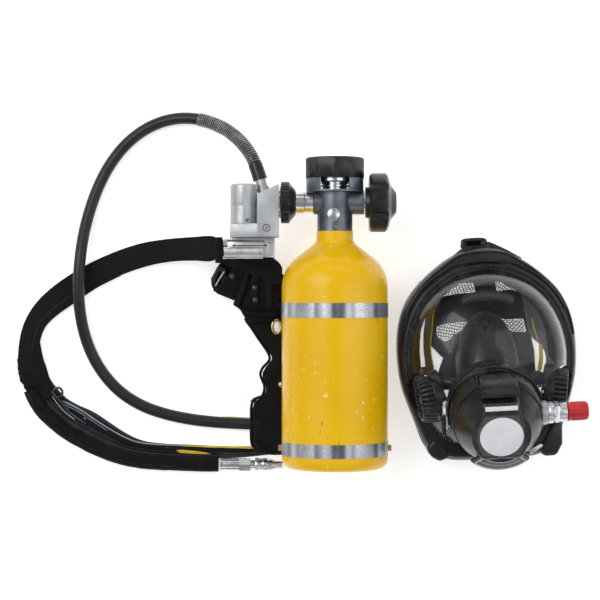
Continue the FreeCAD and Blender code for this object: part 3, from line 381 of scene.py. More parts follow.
def smooth(points, steps=8):
    """A smooth line through the points."""
    p = np.array(points, float)
    p = np.vstack([2 * p[0] - p[1], p, 2 * p[-1] - p[-2]])
    out = []
    for a, b, c, d in zip(p, p[1:], p[2:], p[3:]):
        for t in np.arange(steps) / steps:
            out.append(0.5 * (2 * b + (c - a) * t + (2 * a - 5 * b + 4 * c - d) * t * t
                              + (3 * b - a - 3 * c + d) * t ** 3))
    return np.array(out + [p[-2]])


def loop_through(points, steps=8):
    """A smooth closed line through the points."""
    p = [points[-1]] + list(points) + list(points[:2])
    return smooth(p, steps)[steps:-steps - 1]


def mesh_piece(name, verts, faces, uvs=None, frame_matrix=None):
    """A mesh object from points in millimetres, moved into place by a frame if one is given."""
    data = bpy.data.meshes.new(name)
    data.from_pydata([tuple(float(c) * MM for c in v) for v in verts], [], [tuple(f) for f in faces])
    if uvs is not None:
        layer = data.uv_layers.new(name="UVMap")
        for corner in data.loops:
            layer.data[corner.index].uv = uvs[corner.vertex_index]
    if frame_matrix is not None:
        data.transform(frame_matrix)
    data.validate()
    data.shade_smooth()
    data.set_sharp_from_angle(angle=math.radians(42))
    return bpy.data.objects.new(name, data)


def grid(name, rows, ring=False, caps=False, loop=False, uvs=None, frame_matrix=None):
    """A surface through rows of points. ring closes every row; loop joins the last row to the first."""
    rows = np.array(rows, float)
    n, m = rows.shape[:2]
    faces = []
    for i in range(n if loop else n - 1):
        for j in range(m if ring else m - 1):
            k, q = (i + 1) % n, (j + 1) % m
            faces.append((i * m + j, i * m + q, k * m + q, k * m + j))
    if caps:
        faces.append(tuple(range(m))[::-1])
        faces.append(tuple(range((n - 1) * m, n * m)))
    flat_uvs = None if uvs is None else np.array(uvs, float).reshape(-1, 2)
    return mesh_piece(name, rows.reshape(-1, 3), faces, flat_uvs, frame_matrix)


def carried_frames(path):
    """Side and up vectors at each point of a path, turning no more than the path does."""
    path = np.array(path, float)
    ahead = np.gradient(path, axis=0)
    ahead /= np.linalg.norm(ahead, axis=1)[:, None]
    side = np.cross(ahead[0], (0, 0, 1))
    if np.linalg.norm(side) < 0.2:
        side = np.cross(ahead[0], (0, 1, 0))
    sides, ups = [], []
    for a in ahead:
        side = side - a * side.dot(a)
        side = side / np.linalg.norm(side)
        sides.append(side)
        ups.append(np.cross(side, a))
    return path, np.array(sides), np.array(ups)


def tube_rows(path, radius, count=16, flat=1.0):
    """Rings round a path. radius is a number or one per point; flat squeezes them upwards."""
    path, sides, ups = carried_frames(path)
    radius = np.broadcast_to(np.array(radius, float), (count, len(path))).T
    angle = circle_angles(count)
    return (path[:, None] + radius[..., None] * (np.cos(angle)[None, :, None] * sides[:, None]
            + flat * np.sin(angle)[None, :, None] * ups[:, None]))


def tube_piece(name, path, radius, count=16, flat=1.0, frame_matrix=None):
    rows = tube_rows(path, radius, count, flat)
    uvs = [[(j * MM * 3, s * MM) for j in range(count)] for s in lengths_along(path)]
    return grid(name, rows, ring=True, caps=True, uvs=uvs, frame_matrix=frame_matrix)


def lathe(name, profile, count=72, frame_matrix=None, flutes=None, close=True):
    """A turned piece round Z. flutes is (number, depth, lowest, highest): grooves between two heights."""
    angle = circle_angles(count)
    rows = []
    for r, h in profile:
        ring = np.full(count, float(r))
        if flutes and flutes[2] <= h <= flutes[3]:
            ring -= flutes[1] * (0.5 + 0.5 * np.cos(angle * flutes[0])) ** 3
        rows.append(np.stack([ring * np.cos(angle), ring * np.sin(angle), np.full(count, float(h))], 1))
    return grid(name, rows, ring=True, loop=close, frame_matrix=frame_matrix)


def frame_at(origin, along, across):
    """The frame whose Z runs along and whose X runs as near across as it can."""
    z = Vector(along).normalized()
    x = Vector(across)
    x = (x - z * x.dot(z)).normalized()
    turn = Matrix((x, z.cross(x), z)).transposed().to_4x4()
    turn.translation = Vector(origin) * MM
    return turn


def rounded_box(name, size, corner, frame_matrix):
    """A box with rounded edges, centred on its frame."""
    data = bpy.data.meshes.new(name)
    shape = bmesh.new()
    bmesh.ops.create_cube(shape, size=1.0)
    bmesh.ops.scale(shape, vec=[s * MM for s in size], verts=shape.verts)
    bmesh.ops.bevel(shape, geom=list(shape.edges), offset=corner * MM, segments=4, profile=0.5,
                    affect="EDGES")
    shape.to_mesh(data)
    shape.free()
    data.transform(frame_matrix)
    data.shade_smooth()
    data.set_sharp_from_angle(angle=math.radians(50))
    return bpy.data.objects.new(name, data)


def thicken(shape, faces, rise):
    """Draws flat faces up into a solid."""
    lifted = bmesh.ops.extrude_face_region(shape, geom=faces)["geom"]
    bmesh.ops.translate(shape, vec=(0, 0, rise * MM),
                        verts=[v for v in lifted if isinstance(v, bmesh.types.BMVert)])
    bmesh.ops.recalc_face_normals(shape, faces=shape.faces)


def slab(name, outline, low, high, corner=0.8, frame_matrix=None, segments=3):
    """A plate with the given outline and rounded edges."""
    data = bpy.data.meshes.new(name)
    shape = bmesh.new()
    bottom = [shape.verts.new((x * MM, y * MM, low * MM)) for x, y in outline]
    thicken(shape, [shape.faces.new(bottom)], high - low)
    sharp = [e for e in shape.edges if len(e.link_faces) == 2 and e.calc_face_angle() > 0.5]
    if corner:
        bmesh.ops.bevel(shape, geom=sharp, offset=corner * MM, segments=segments, profile=0.5,
                        affect="EDGES", clamp_overlap=True)
    bmesh.ops.triangulate(shape, faces=[f for f in shape.faces if len(f.verts) > 4])
    shape.to_mesh(data)
    shape.free()
    if frame_matrix is not None:
        data.transform(frame_matrix)
    data.shade_smooth()
    data.set_sharp_from_angle(angle=math.radians(50))
    return bpy.data.objects.new(name, data)


def route_line(line):
    """The points that a route's spline passes, in millimetres, read from the curve without its bevel."""
    bare = bpy.data.objects.new("bare_line", line.data.copy())
    bare.data.bevel_depth = 0
    data = bpy.data.meshes.new_from_object(bare)
    points = np.array([v.co for v in data.vertices]) / MM
    bpy.data.objects.remove(bare)
    return points


def part_of(path, start, end, step):
    """Even points along a path between two lengths."""
    want, along = np.arange(start, end, step), lengths_along(path)
    return np.stack([np.interp(want, along, way) for way in np.array(path, float).T], 1)


def beads(name, path, pitch, size):
    """A row of stitches, small rounded lozenges. size is half a stitch's length and half its width."""
    spots = part_of(path, 0, lengths_along(path)[-1], pitch)
    verts, faces = [], []
    for a, b in zip(spots, spots[1:]):
        ahead = (b - a) / np.linalg.norm(b - a)
        side = np.cross(ahead, (0, 0, 1))
        side /= max(np.linalg.norm(side), 1e-6)
        k = len(verts)
        for s, w in ((-0.5, 0.35), (0, 1), (0.5, 0.35)):
            at = a + ahead * s * size[0]
            for x, z in ((-1, 0), (0, 1), (1, 0), (0, -1)):
                verts.append(at + side * x * w * size[1] + np.array([0, 0, z * w * size[1]]))
        for ring in (0, 4):
            for j in range(4):
                q = (j + 1) % 4
                faces.append((k + ring + j, k + ring + q, k + ring + 4 + q, k + ring + 4 + j))
        faces += [(k + 3, k + 2, k + 1, k), (k + 8, k + 9, k + 10, k + 11)]
    return mesh_piece(name, verts, faces)


def strap_edges(sections, steps=8):
    """The smooth outer and inner edges of a strap."""
    outer = smooth([(x, y, z) for (x, y), _, z in sections], steps)
    inner = smooth([(x, y, z) for _, (x, y), z in sections], steps)
    return outer, inner


def strap(name, sections, thick, span=(0, 1), lift=0.0, ripple=0.0, crown=0.0, seed=1):
    """A flat strap through sections of (outer edge, inner edge, underside height). span is the part of the
    width that it covers, ripple its waves' height and crown the rise of its middle."""
    outer, inner = strap_edges(sections)
    count = 14
    share = np.linspace(span[0], span[1], count)
    place = np.linspace(0, 1, count)
    body = 0.5 * thick * (1 - np.abs(2 * place - 1) ** 7) ** 0.5
    along = lengths_along((outer + inner) / 2)
    width = np.linalg.norm(outer - inner, axis=1)
    phase = np.random.default_rng(seed).uniform(0, 6.28, 4)
    rows, uvs = [], []
    for k, s in enumerate(along):
        line = outer[k][None] * (1 - share[:, None]) + inner[k][None] * share[:, None]
        wave = ripple * (np.sin(s / 7.0 + phase[0] + place * 2)
                         + 0.7 * np.sin(s / 3.6 + phase[1] - place * 3))
        base = thick / 2 + lift + wave * 0.5 + abs(ripple) + crown * np.sin(math.pi * place)
        top, low = line.copy(), line.copy()
        top[:, 2] += base + body
        low[:, 2] += np.maximum(base - body, 0.05)
        rows.append(np.vstack([top, low[::-1][1:-1]]))
        u = share * width[k] * MM
        uvs.append([(a, s * MM) for a in u] + [(a, s * MM) for a in u[::-1][1:-1]])
    return grid(name, rows, ring=True, caps=True, uvs=uvs)


def strap_line(sections, share, rise, steps=8):
    """A line along a strap's top, at a share of its width from the outer edge."""
    outer, inner = strap_edges(sections, steps)
    return outer * (1 - share) + inner * share + np.array([0, 0, rise])


def wrinkle(piece, size, depth, seed):
    """Moves the points of a fabric piece in and out with a fixed folded noise."""
    data = piece.data
    data.update()
    normals = [v.normal.copy() for v in data.vertices]
    for vert, normal in zip(data.vertices, normals):
        spot = Vector([c / (size * MM) for c in vert.co]) + Vector((seed, seed * 2, 0))
        fold = 1 - abs(field.noise(spot)) * 2.2
        fine = field.noise(spot * 2.7) * 0.35
        vert.co += normal * (fold * 0.5 + fine - 0.3) * depth * MM
    data.update()


def inflate(name, node, voxel, shrink, pressure, cap):
    """Padded fabric: a copy of a CAD solid, remeshed and blown up as cloth, with its movement capped."""
    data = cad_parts[node].data.copy()
    piece = bpy.data.objects.new(name, data)
    bpy.context.scene.collection.objects.link(piece)
    bpy.ops.object.select_all(action="DESELECT")
    piece.select_set(True)
    bpy.context.view_layer.objects.active = piece
    remesh = piece.modifiers.new("remesh", "REMESH")
    remesh.mode = "VOXEL"
    remesh.voxel_size = voxel * MM
    bpy.ops.object.modifier_apply(modifier="remesh")
    data = piece.data
    normals = [v.normal.copy() for v in data.vertices]
    for vert, normal in zip(data.vertices, normals):
        vert.co -= normal * shrink * MM
    data.update()
    before = [v.co.copy() for v in data.vertices]
    cloth = piece.modifiers.new("cloth", "CLOTH")
    cloth.settings.use_pressure = True
    cloth.settings.uniform_pressure_force = pressure
    cloth.settings.effector_weights.gravity = 0
    cloth.settings.quality = 6
    cloth.point_cache.frame_end = 20
    for step in range(1, 21):
        bpy.context.scene.frame_set(step)
    bpy.ops.object.modifier_apply(modifier="cloth")
    bpy.context.scene.frame_set(1)
    for vert, old in zip(piece.data.vertices, before):
        move = vert.co - old
        if move.length > cap * MM:
            vert.co = old + move.normalized() * cap * MM
    divide = piece.modifiers.new("smooth", "SUBSURF")
    divide.levels = divide.render_levels = 1
    bpy.ops.object.modifier_apply(modifier="smooth")
    for vert in piece.data.vertices:
        vert.co.z = max(vert.co.z, 0.0003)
    piece.data.materials.clear()
    piece.data.shade_smooth()
    return piece


def own(piece, body, finish, *nodes):
    """Gives a finished piece its material and body, and hides the CAD nodes it stands for."""
    if piece.name not in bpy.context.scene.collection.objects:
        bpy.context.scene.collection.objects.link(piece)
    piece.data.materials.clear()
    piece.data.materials.append(MATS[finish])
    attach(piece, body)
    if nodes:
        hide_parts(*nodes)
    return piece


def nurbs(name, route, radius):
    """A smooth line with the route's points as its control points, and a round section."""
    data = bpy.data.curves.new(name, "CURVE")
    data.dimensions = "3D"
    data.resolution_u = 16
    data.bevel_depth = radius * MM
    data.bevel_resolution = 6
    data.use_fill_caps = True
    line = data.splines.new("NURBS")
    line.points.add(len(route) - 1)
    for spot, (x, y, z) in zip(line.points, route):
        spot.co = (x * MM, y * MM, z * MM, 1)
    line.order_u = 3
    line.use_endpoint_u = True
    return bpy.data.objects.new(name, data)


def dress():
    """Finishes for the CAD pieces that stay."""
    finishes = {
        "yellow_paint": "bottle_shell",
        "silver_tape": "bottle_bands",
        "brass": "band_hooks",
        "grey_casting": "valve_body gauge_cage",
        "bright_steel": "burst_disc_plug gauge_nut gauge_case outlet_stem inlet_flange flange_screws "
                        "handwheel_screw airline_ferrule harness_studs hose_socket "
                        "airline_plug airline_collar port_clip reducer_spring valve_spindle valve_plunger",
        "dial_white": "gauge_dial",
        "clear_glass": "gauge_lens",
        "red_knob": "gauge_needle purge_knob",
        "black_rubber": "guard_cap face_seal hose_boot outlet_seal nose_cup demand_diaphragm",
        "black_plastic": "handwheel coupling_wheel lens_frame mask_port voicemitter_housings "
                         "regulator_body regulator_cover donning_button strap_adjuster strap_buckles",
        "satin_silver": "reducer_housing reducer_cap reducer_piston hose_elbow",
        "polished_plate": "clip_bracket clip_plate clip_pin inlet_union",
        "dark_metal": "voicemitter_discs",
        "visor": "lens",
        "hose_black": "lp_hose bend_guard airline_hose",
        "woven_black": "upper_belt lower_belt side_strap head_net",
        "fabric": "back_pad pouch",
    }
    for finish, names in finishes.items():
        for name in names.split():
            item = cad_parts[name]
            item.data.materials.clear()
            item.data.materials.append(MATS[finish])
            item.data.shade_smooth()
            item.data.set_sharp_from_angle(angle=math.radians(35))
    for name in ("lens", "gauge_lens"):
        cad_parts[name].visible_shadow = False
    rounds = {"reducer_housing": 1.6, "reducer_cap": 1.2, "clip_bracket": 0.8, "clip_plate": 0.9,
              "guard_cap": 1.2, "handwheel": 1.4, "gauge_cage": 0.6, "regulator_body": 0.5,
              "donning_button": 1.1, "inlet_union": 0.4, "strap_buckles": 0.7, "port_clip": 0.5,
              "airline_collar": 0.3, "strap_adjuster": 0.8}
    for name, width in rounds.items():
        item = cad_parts[name]
        weld = item.modifiers.new("weld", "WELD")
        weld.merge_threshold = 0.00002
        edge = item.modifiers.new("edge", "BEVEL")
        edge.width = width * MM
        edge.segments = 3
        edge.limit_method = "ANGLE"
        edge.angle_limit = math.radians(38)
        edge.harden_normals = True


def make_hose():
    hose = own(nurbs("hose_line", HOSE_ROUTE, HOSE_R), ROOT, "hose_black", "lp_hose")
    line = route_line(hose)
    boot = part_of(line, 0.4, 19.4, 0.9)
    radii = 7.45 + 0.35 * np.exp(-np.arange(len(boot)) / 2.5)
    radii[-2:] = (7.2, 6.7)
    cover = own(tube_piece("hose_boot_sleeve", boot, radii, 32), ROOT, "black_rubber", "hose_boot")
    guard = part_of(line, 18.5, 112, 1.2)
    tube = own(tube_piece("bend_guard_sleeve", guard, HOSE_R + 0.35, 32), ROOT, "black_rubber", "bend_guard")
    turns, per_turn, pitch = 37, 16, 2.45
    fine = part_of(line, 19.5, 19.5 + turns * pitch, pitch / per_turn)
    centre, sides, ups = carried_frames(fine)
    angle = (np.arange(len(fine)) * 2 * math.pi / per_turn)[:, None]
    coil = centre + (HOSE_R + 0.5) * (np.cos(angle) * sides + np.sin(angle) * ups)
    wire = own(tube_piece("bend_guard_wire", coil, 0.58, 6), ROOT, "guard_wire")


def make_sleeve():
    route = nurbs("sleeve_route", AIRLINE_ROUTE, 0)
    line = route_line(route)
    bpy.data.objects.remove(route)
    total = lengths_along(line)[-1]
    spine = part_of(line, 0, total, 1.5)
    rows = list(tube_rows(spine, 7.75, 36))
    first, ahead = rows[0], spine[1] - spine[0]
    ahead /= np.linalg.norm(ahead)
    centre = spine[0]
    lip = [centre + (first - centre) * k + ahead * d for k, d in
           ((0.55, 9), (0.62, 3), (0.74, 0.6), (0.88, -0.1))]
    sleeve = grid("airline_sleeve", lip + rows, ring=True, caps=True)
    wrinkle(sleeve, 16, 0.75, 3)
    own(sleeve, ROOT, "fabric", "airline_hose")
    seam = part_of(line, 4, total - 3, 1.2) + np.array([0, 0, 7.35])
    own(beads("sleeve_seam", seam + carried_frames(seam)[1] * 2.2, 3, (2.2, 0.28)), ROOT, "thread")


def quad_patch(name, corners, low, thick, ripple, waves, count=28):
    """A soft patch through four corners, rippled along its first direction."""
    a, b, c, d = (np.array(p, float) for p in corners)
    rows = []
    for v in np.linspace(0, 1, count):
        upper, lower = [], []
        for u in np.linspace(0, 1, count):
            spot = (a * (1 - u) + b * u) * (1 - v) + (d * (1 - u) + c * u) * v
            edge = min(u, 1 - u, v, 1 - v) * 12
            body = thick * (1 - math.exp(-edge * 2.2))
            wave = ripple * math.sin(waves * 6.28 * u + 2.2 * math.sin(v * 9)) * min(edge, 1)
            upper.append((spot[0], spot[1], low + 0.05 + body + wave))
            lower.append((spot[0], spot[1], low))
        rows.append(upper + lower[::-1])
    return grid(name, rows, ring=True, caps=True)


def make_belts():
    own(strap("upper_belt_web", UPPER_BELT, 3.2, ripple=0.12, seed=4), ROOT, "woven_black", "upper_belt")
    own(strap("upper_belt_second_layer", UPPER_BELT[6:], 1.3, span=(0.62, 1.02), lift=3.1, ripple=0.2,
              crown=0.5, seed=8), ROOT, "woven_black")
    own(beads("upper_belt_stitches", strap_line(UPPER_BELT[7:], 0.70, 4.95), 2.6, (1.9, 0.26)), ROOT,
        "thread")
    for k, share in enumerate((0.05, 0.95)):
        own(tube_piece("upper_belt_edge_%d" % k, strap_line(UPPER_BELT, share, 1.9, 6), 1.25, 8), ROOT,
            "woven_black")
    own(rounded_box("belt_keeper", (7.6, 27.5, 7.2), 1.2,
                    Matrix.Translation((-0.0794, 0.0664, 0.0462)) @ Matrix.Rotation(0.28, 4, "Y")), ROOT,
        "woven_black")

    own(strap("lower_belt_web", LOWER_BELT, 2.6, ripple=0.15, seed=12), ROOT, "gloss", "lower_belt")
    own(strap("lower_belt_under", LOWER_BELT[3:], 2, span=(-0.40, 0.30), ripple=0.1, seed=13), ROOT,
        "gloss")
    own(strap("lower_belt_band", LOWER_BELT[2:], 1.4, span=(0.30, 0.86), lift=2.5, ripple=0.25, crown=0.6,
              seed=14), ROOT, "woven_black")
    own(tube_piece("lower_belt_rib", strap_line(LOWER_BELT[3:], 0.24, 3), 0.8, 8), ROOT, "gloss")
    piping = smooth([(-250.7, -96.1, 5.6), (-240, -101, 5.6), (-227.6, -108.1, 5.2), (-203.6, -124.1, 4.6),
                     (-179.5, -137.1, 4.4), (-159.5, -142.2, 4.4), (-121.4, -144.2, 4.4)])
    own(tube_piece("belt_piping", piping, 0.75, 8), ROOT, "pale_piping")
    own(tube_piece("belt_piping_second", piping + np.array([-1.6, -2.2, -0.2]), 0.35, 8), ROOT, "pale_piping")
    yellow = [((-124, -146), (-124, -144), 2.6), ((-90.6, -148), (-90.6, -144.6), 2.6),
              ((-60, -148.6), (-60, -145), 2.6), ((-40, -148.2), (-40, -145.2), 2.6)]
    own(strap("belt_yellow_edge", yellow, 1.3, ripple=0.1), ROOT, "yellow_web")
    own(slab("belt_yellow_patch", [(-128, -149.4), (-122, -148.6), (-109.5, -149.5), (-96, -151.8),
                                   (-89.6, -153.9), (-108, -153.4), (-124, -152.4)], 3, 4.6, 0.4), ROOT,
        "yellow_web")
    own(slab("hose_yellow_edge", [(-92, -113.4), (-70, -112.9), (-48.8, -114.2), (-40, -116),
                                  (-60, -119), (-90, -117)], 0.2, 1, 0.3), ROOT, "yellow_web")
    fold = [((-299.3, -50), (-280, -48), 3.4), ((-298.9, -60), (-274, -60), 5),
            ((-297, -69), (-266, -70), 6.4), ((-293.5, -78), (-262, -78), 7),
            ((-288.5, -86), (-262.5, -83), 6.6), ((-280.5, -96.5), (-262, -93.5), 5.6)]
    cloth = strap("belt_fold", fold, 2, ripple=0.8, crown=1.8, seed=5)
    wrinkle(cloth, 12, 2.6, 9)
    own(cloth, ROOT, "fabric")
    flap = [((-278.6, -26), (-276, -27), 3.6), ((-283, -46), (-272, -48), 4.2),
            ((-284, -57), (-268.6, -58), 4.2), ((-280, -70), (-264.5, -72), 4),
            ((-268, -86), (-258, -84), 3.8), ((-252, -101), (-245.5, -96), 3.6)]
    own(strap("belt_inner_flap", flap, 1.6, ripple=0.5, crown=0.9, seed=21), ROOT, "fabric")
    lever = smooth([(-268, -80, 6.4), (-262, -87, 7.2), (-254, -95.5, 7.4), (-246, -106, 7),
                    (-236, -114, 6), (-225.8, -120.6, 4.8)])
    own(tube_piece("snap_lever", lever, 1.5, 10, 0.6), ROOT, "dark_metal")
    own(tube_piece("snap_spring", smooth([(-262, -91, 6), (-256, -99, 6.4), (-248, -108, 6),
                                          (-238, -116, 5)]), 0.7, 8), ROOT, "bright_steel")


def ovals(sizes):
    """Rings round the eyelet's middle, each with its half width, half length and height."""
    angle = circle_angles(40)
    return [np.stack([EYELET[0] + a * np.cos(angle), EYELET[1] + b * np.sin(angle), np.full(40, z)], 1)
            for a, b, z in sizes]


def make_pads():
    """The back pad, the pouch and what is sewn or riveted to them."""
    pad = inflate("back_pad_cushion", "back_pad", 4, 0.5, 3, 2)
    wrinkle(pad, 15, 1.5, 2)
    shape = bmesh.new()
    shape.from_mesh(pad.data)
    hole = [v for v in shape.verts
            if math.hypot((v.co.x / MM - EYELET[0]) / 4.2, (v.co.y / MM - EYELET[1]) / 7) < 1]
    bmesh.ops.delete(shape, geom=hole, context="VERTS")
    shape.to_mesh(pad.data)
    shape.free()
    own(pad, ROOT, "fabric", "back_pad")
    bag = inflate("pouch_bag", "pouch", 4.5, 2, 4, 5)
    wrinkle(bag, 13, 3, 5)
    own(bag, ROOT, "fabric", "pouch")
    edge = [(-52.6, -6), (-38.6, -27), (-26, -47.6), (-33.6, -59.4), (-35.8, -67), (-31.6, -79),
            (-34, -89), (-42.8, -93.6), (-45.6, -101), (-45.8, -118), (-45.6, -138), (-41.6, -145)]
    edge = smooth([(x, y, PAD_EDGE_Z) for x, y in edge] + [(-26.6, -150.8, 26.6), (-8, -151, 24)])
    own(tube_piece("pad_binding", edge, 1.5, 10), ROOT, "woven_black")
    own(beads("pad_stitches", edge + np.array([3.6, 0.4, 0.9]), 2.6, (1.8, 0.28)), ROOT, "thread")
    own(tube_piece("pad_trim", smooth([(-46.6, -96, 22), (-43, -92.6, 22), (-37.4, -90.2, 22)]),
                   1.3, 8), ROOT, "yellow_web")
    own(lathe("pad_vent_rim", [(2.2, 27.2), (2.2, 28.6), (3.2, 28.6), (3.4, 27.2)], 32,
              Matrix.Translation((-0.0378, -0.1201, 0))), ROOT, "black_rubber")
    rim = ((3, 5.7, 28.2), (3.6, 6.3, 29.3), (4.6, 7.3, 29.6), (5.6, 8.3, 29.2), (5.9, 8.6, 28),
           (4.3, 7, 27.6))
    own(grid("eyelet_ring", ovals(rim), ring=True, loop=True), ROOT, "brass", "harness_studs")
    wall = ((3.5, 6.2, 28.4), (3.5, 6.2, 19), (6.1, 8.8, 19), (6.1, 8.8, 28.4))
    own(grid("eyelet_wall", ovals(wall), ring=True, loop=True), ROOT, "woven_black")
    ring = [(-256.0 + 5.2 * math.cos(a), -86.6 + 5.2 * math.sin(a), 6.2) for a in np.linspace(0, 6.6, 40)]
    own(tube_piece("belt_ring", ring, 1.3, 12), ROOT, "dark_metal")
    for k, (x, y) in enumerate(((-245.4, -104.4), (-226.4, -115))):
        own(lathe("belt_hook_%d" % k, [(0.01, 4.2), (1.4, 4), (2.4, 3), (2.7, 0), (0.01, 0)], 28,
                  Matrix.Translation((x * MM, y * MM, 0.0042)), close=False), ROOT, "dark_metal")
    backing = [(-89.6, 36.6), (-81, 51.5), (-76, 57), (-40, 58), (-20, 50), (-20, 0),
               (-58, 2), (-63.2, 12.4), (-83.3, 20.5), (-88.8, 28)]
    own(slab("pouch_backing", backing, 15, 19.6, 1.6), ROOT, "fabric")
    own(strap("pad_apron", [((-62, 12), (-12, 12), 26), ((-57, 2), (-11, 2), 27),
                            ((-53, -5), (-10, -5), 27.4), ((-49, -11.5), (-10, -9), 27.8)], 1.6,
              ripple=0.15, seed=6), ROOT, "fabric")
    own(lathe("pad_stud_cap", [(0.01, 3.4), (1.6, 3.2), (3, 2.2), (3.9, 0.6), (4, -1.2), (0.01, -1.2)],
              32, Matrix.Translation((-0.0138, -0.0770, 0.0289)), close=False), ROOT, "brass")
    for k, (x, y, z) in enumerate(((-66, 38.4, 34.4), (-41.6, 26.6, 39.2), (-41.2, 13.6, 38.6))):
        own(lathe("snap_cap_%d" % k, [(0.01, 1.3), (1.5, 1.2), (2.6, 0.8), (3.2, 0), (3.5, -0.8),
                                      (3.5, -1.8), (0.01, -1.8)], 32,
                  Matrix.Translation((x * MM, y * MM, z * MM)), close=False), ROOT, "dark_metal")
    own(quad_patch("elastic_panel", [(-68, 43.5), (-46.8, 40), (-59.7, 12.2), (-84, 24)], 31.4, 2.2,
                   0.55, 8), ROOT, "fabric")
    own(tube_piece("adjuster_bar", smooth([(-74.7, 43.6, 28.4), (-79.6, 36, 28.8), (-83.8, 28.6, 28.4)]), 1.3,
                   12), ROOT, "guard_wire")
    shoulder = [((-24, 60), (-78, 57), 40.6), ((-16.5, 54), (-74, 51.5), 38),
                ((-12.6, 48), (-58, 45), 36), ((-12.6, 40), (-36, 37), 35.2),
                ((-13.2, 31), (-24, 30), 34.8)]
    own(strap("shoulder_web", shoulder, 1.8, ripple=0.15, seed=3), ROOT, "woven_black", "side_strap")
    own(beads("shoulder_stitches", strap_line(shoulder, 0.1, 2.4), 2.4, (1.7, 0.26)), ROOT, "thread")
    tabs = [  # sections of the small straps over the pouch
        [((-52, 42), (-46.5, 44), 34.6), ((-57, 28), (-51, 27), 35.8),
         ((-65, 9), (-58, 7), 33.6)],
        [((-44.5, 41), (-37, 38), 34.8), ((-46.5, 24), (-38, 24), 35.4),
         ((-45, 8), (-37, 8), 34.4)],
        [((-32.5, 38), (-24, 36), 34.6), ((-30, 20), (-22, 20), 35),
         ((-31, 4), (-22, 5), 33.2)],
    ]
    for k, sections in enumerate(tabs):
        own(strap("pouch_tab_%d" % k, sections, 1.6, ripple=0.35, crown=0.8, seed=30 + k), ROOT,
            "woven_black")
    rim = smooth([(-64, 9.4, 33), (-52, 2, 33.6), (-38, -2, 34), (-22, -2.6, 33.4),
                  (-13, 1, 31)])
    own(tube_piece("pouch_rim", rim, 1.5, 10), ROOT, "fabric")
    own(tube_piece("pouch_fold", smooth([(-33, 36, 33.4), (-27, 22, 34.6), (-17, 10, 33.6),
                                         (-12.6, 4, 31)]), 2, 10, 0.7), ROOT, "fabric")


def curved_plate(name, axis, stations, degrees, outer, inner):
    """A thin curved plate drawn out along x or y. outer and inner are arcs: the middle across, the middle
    height, the half width and the half height."""
    arc, rows = np.radians(degrees), []
    for t in stations:
        ring = [(u + a * math.sin(w), z + b * math.cos(w)) for (u, z, a, b), turn in ((outer, 1), (inner, -1))
                for w in arc[::turn]]
        rows.append([(t, u, z) if axis == "x" else (u, t, z) for u, z in ring])
    return grid(name, rows, ring=True, caps=True)


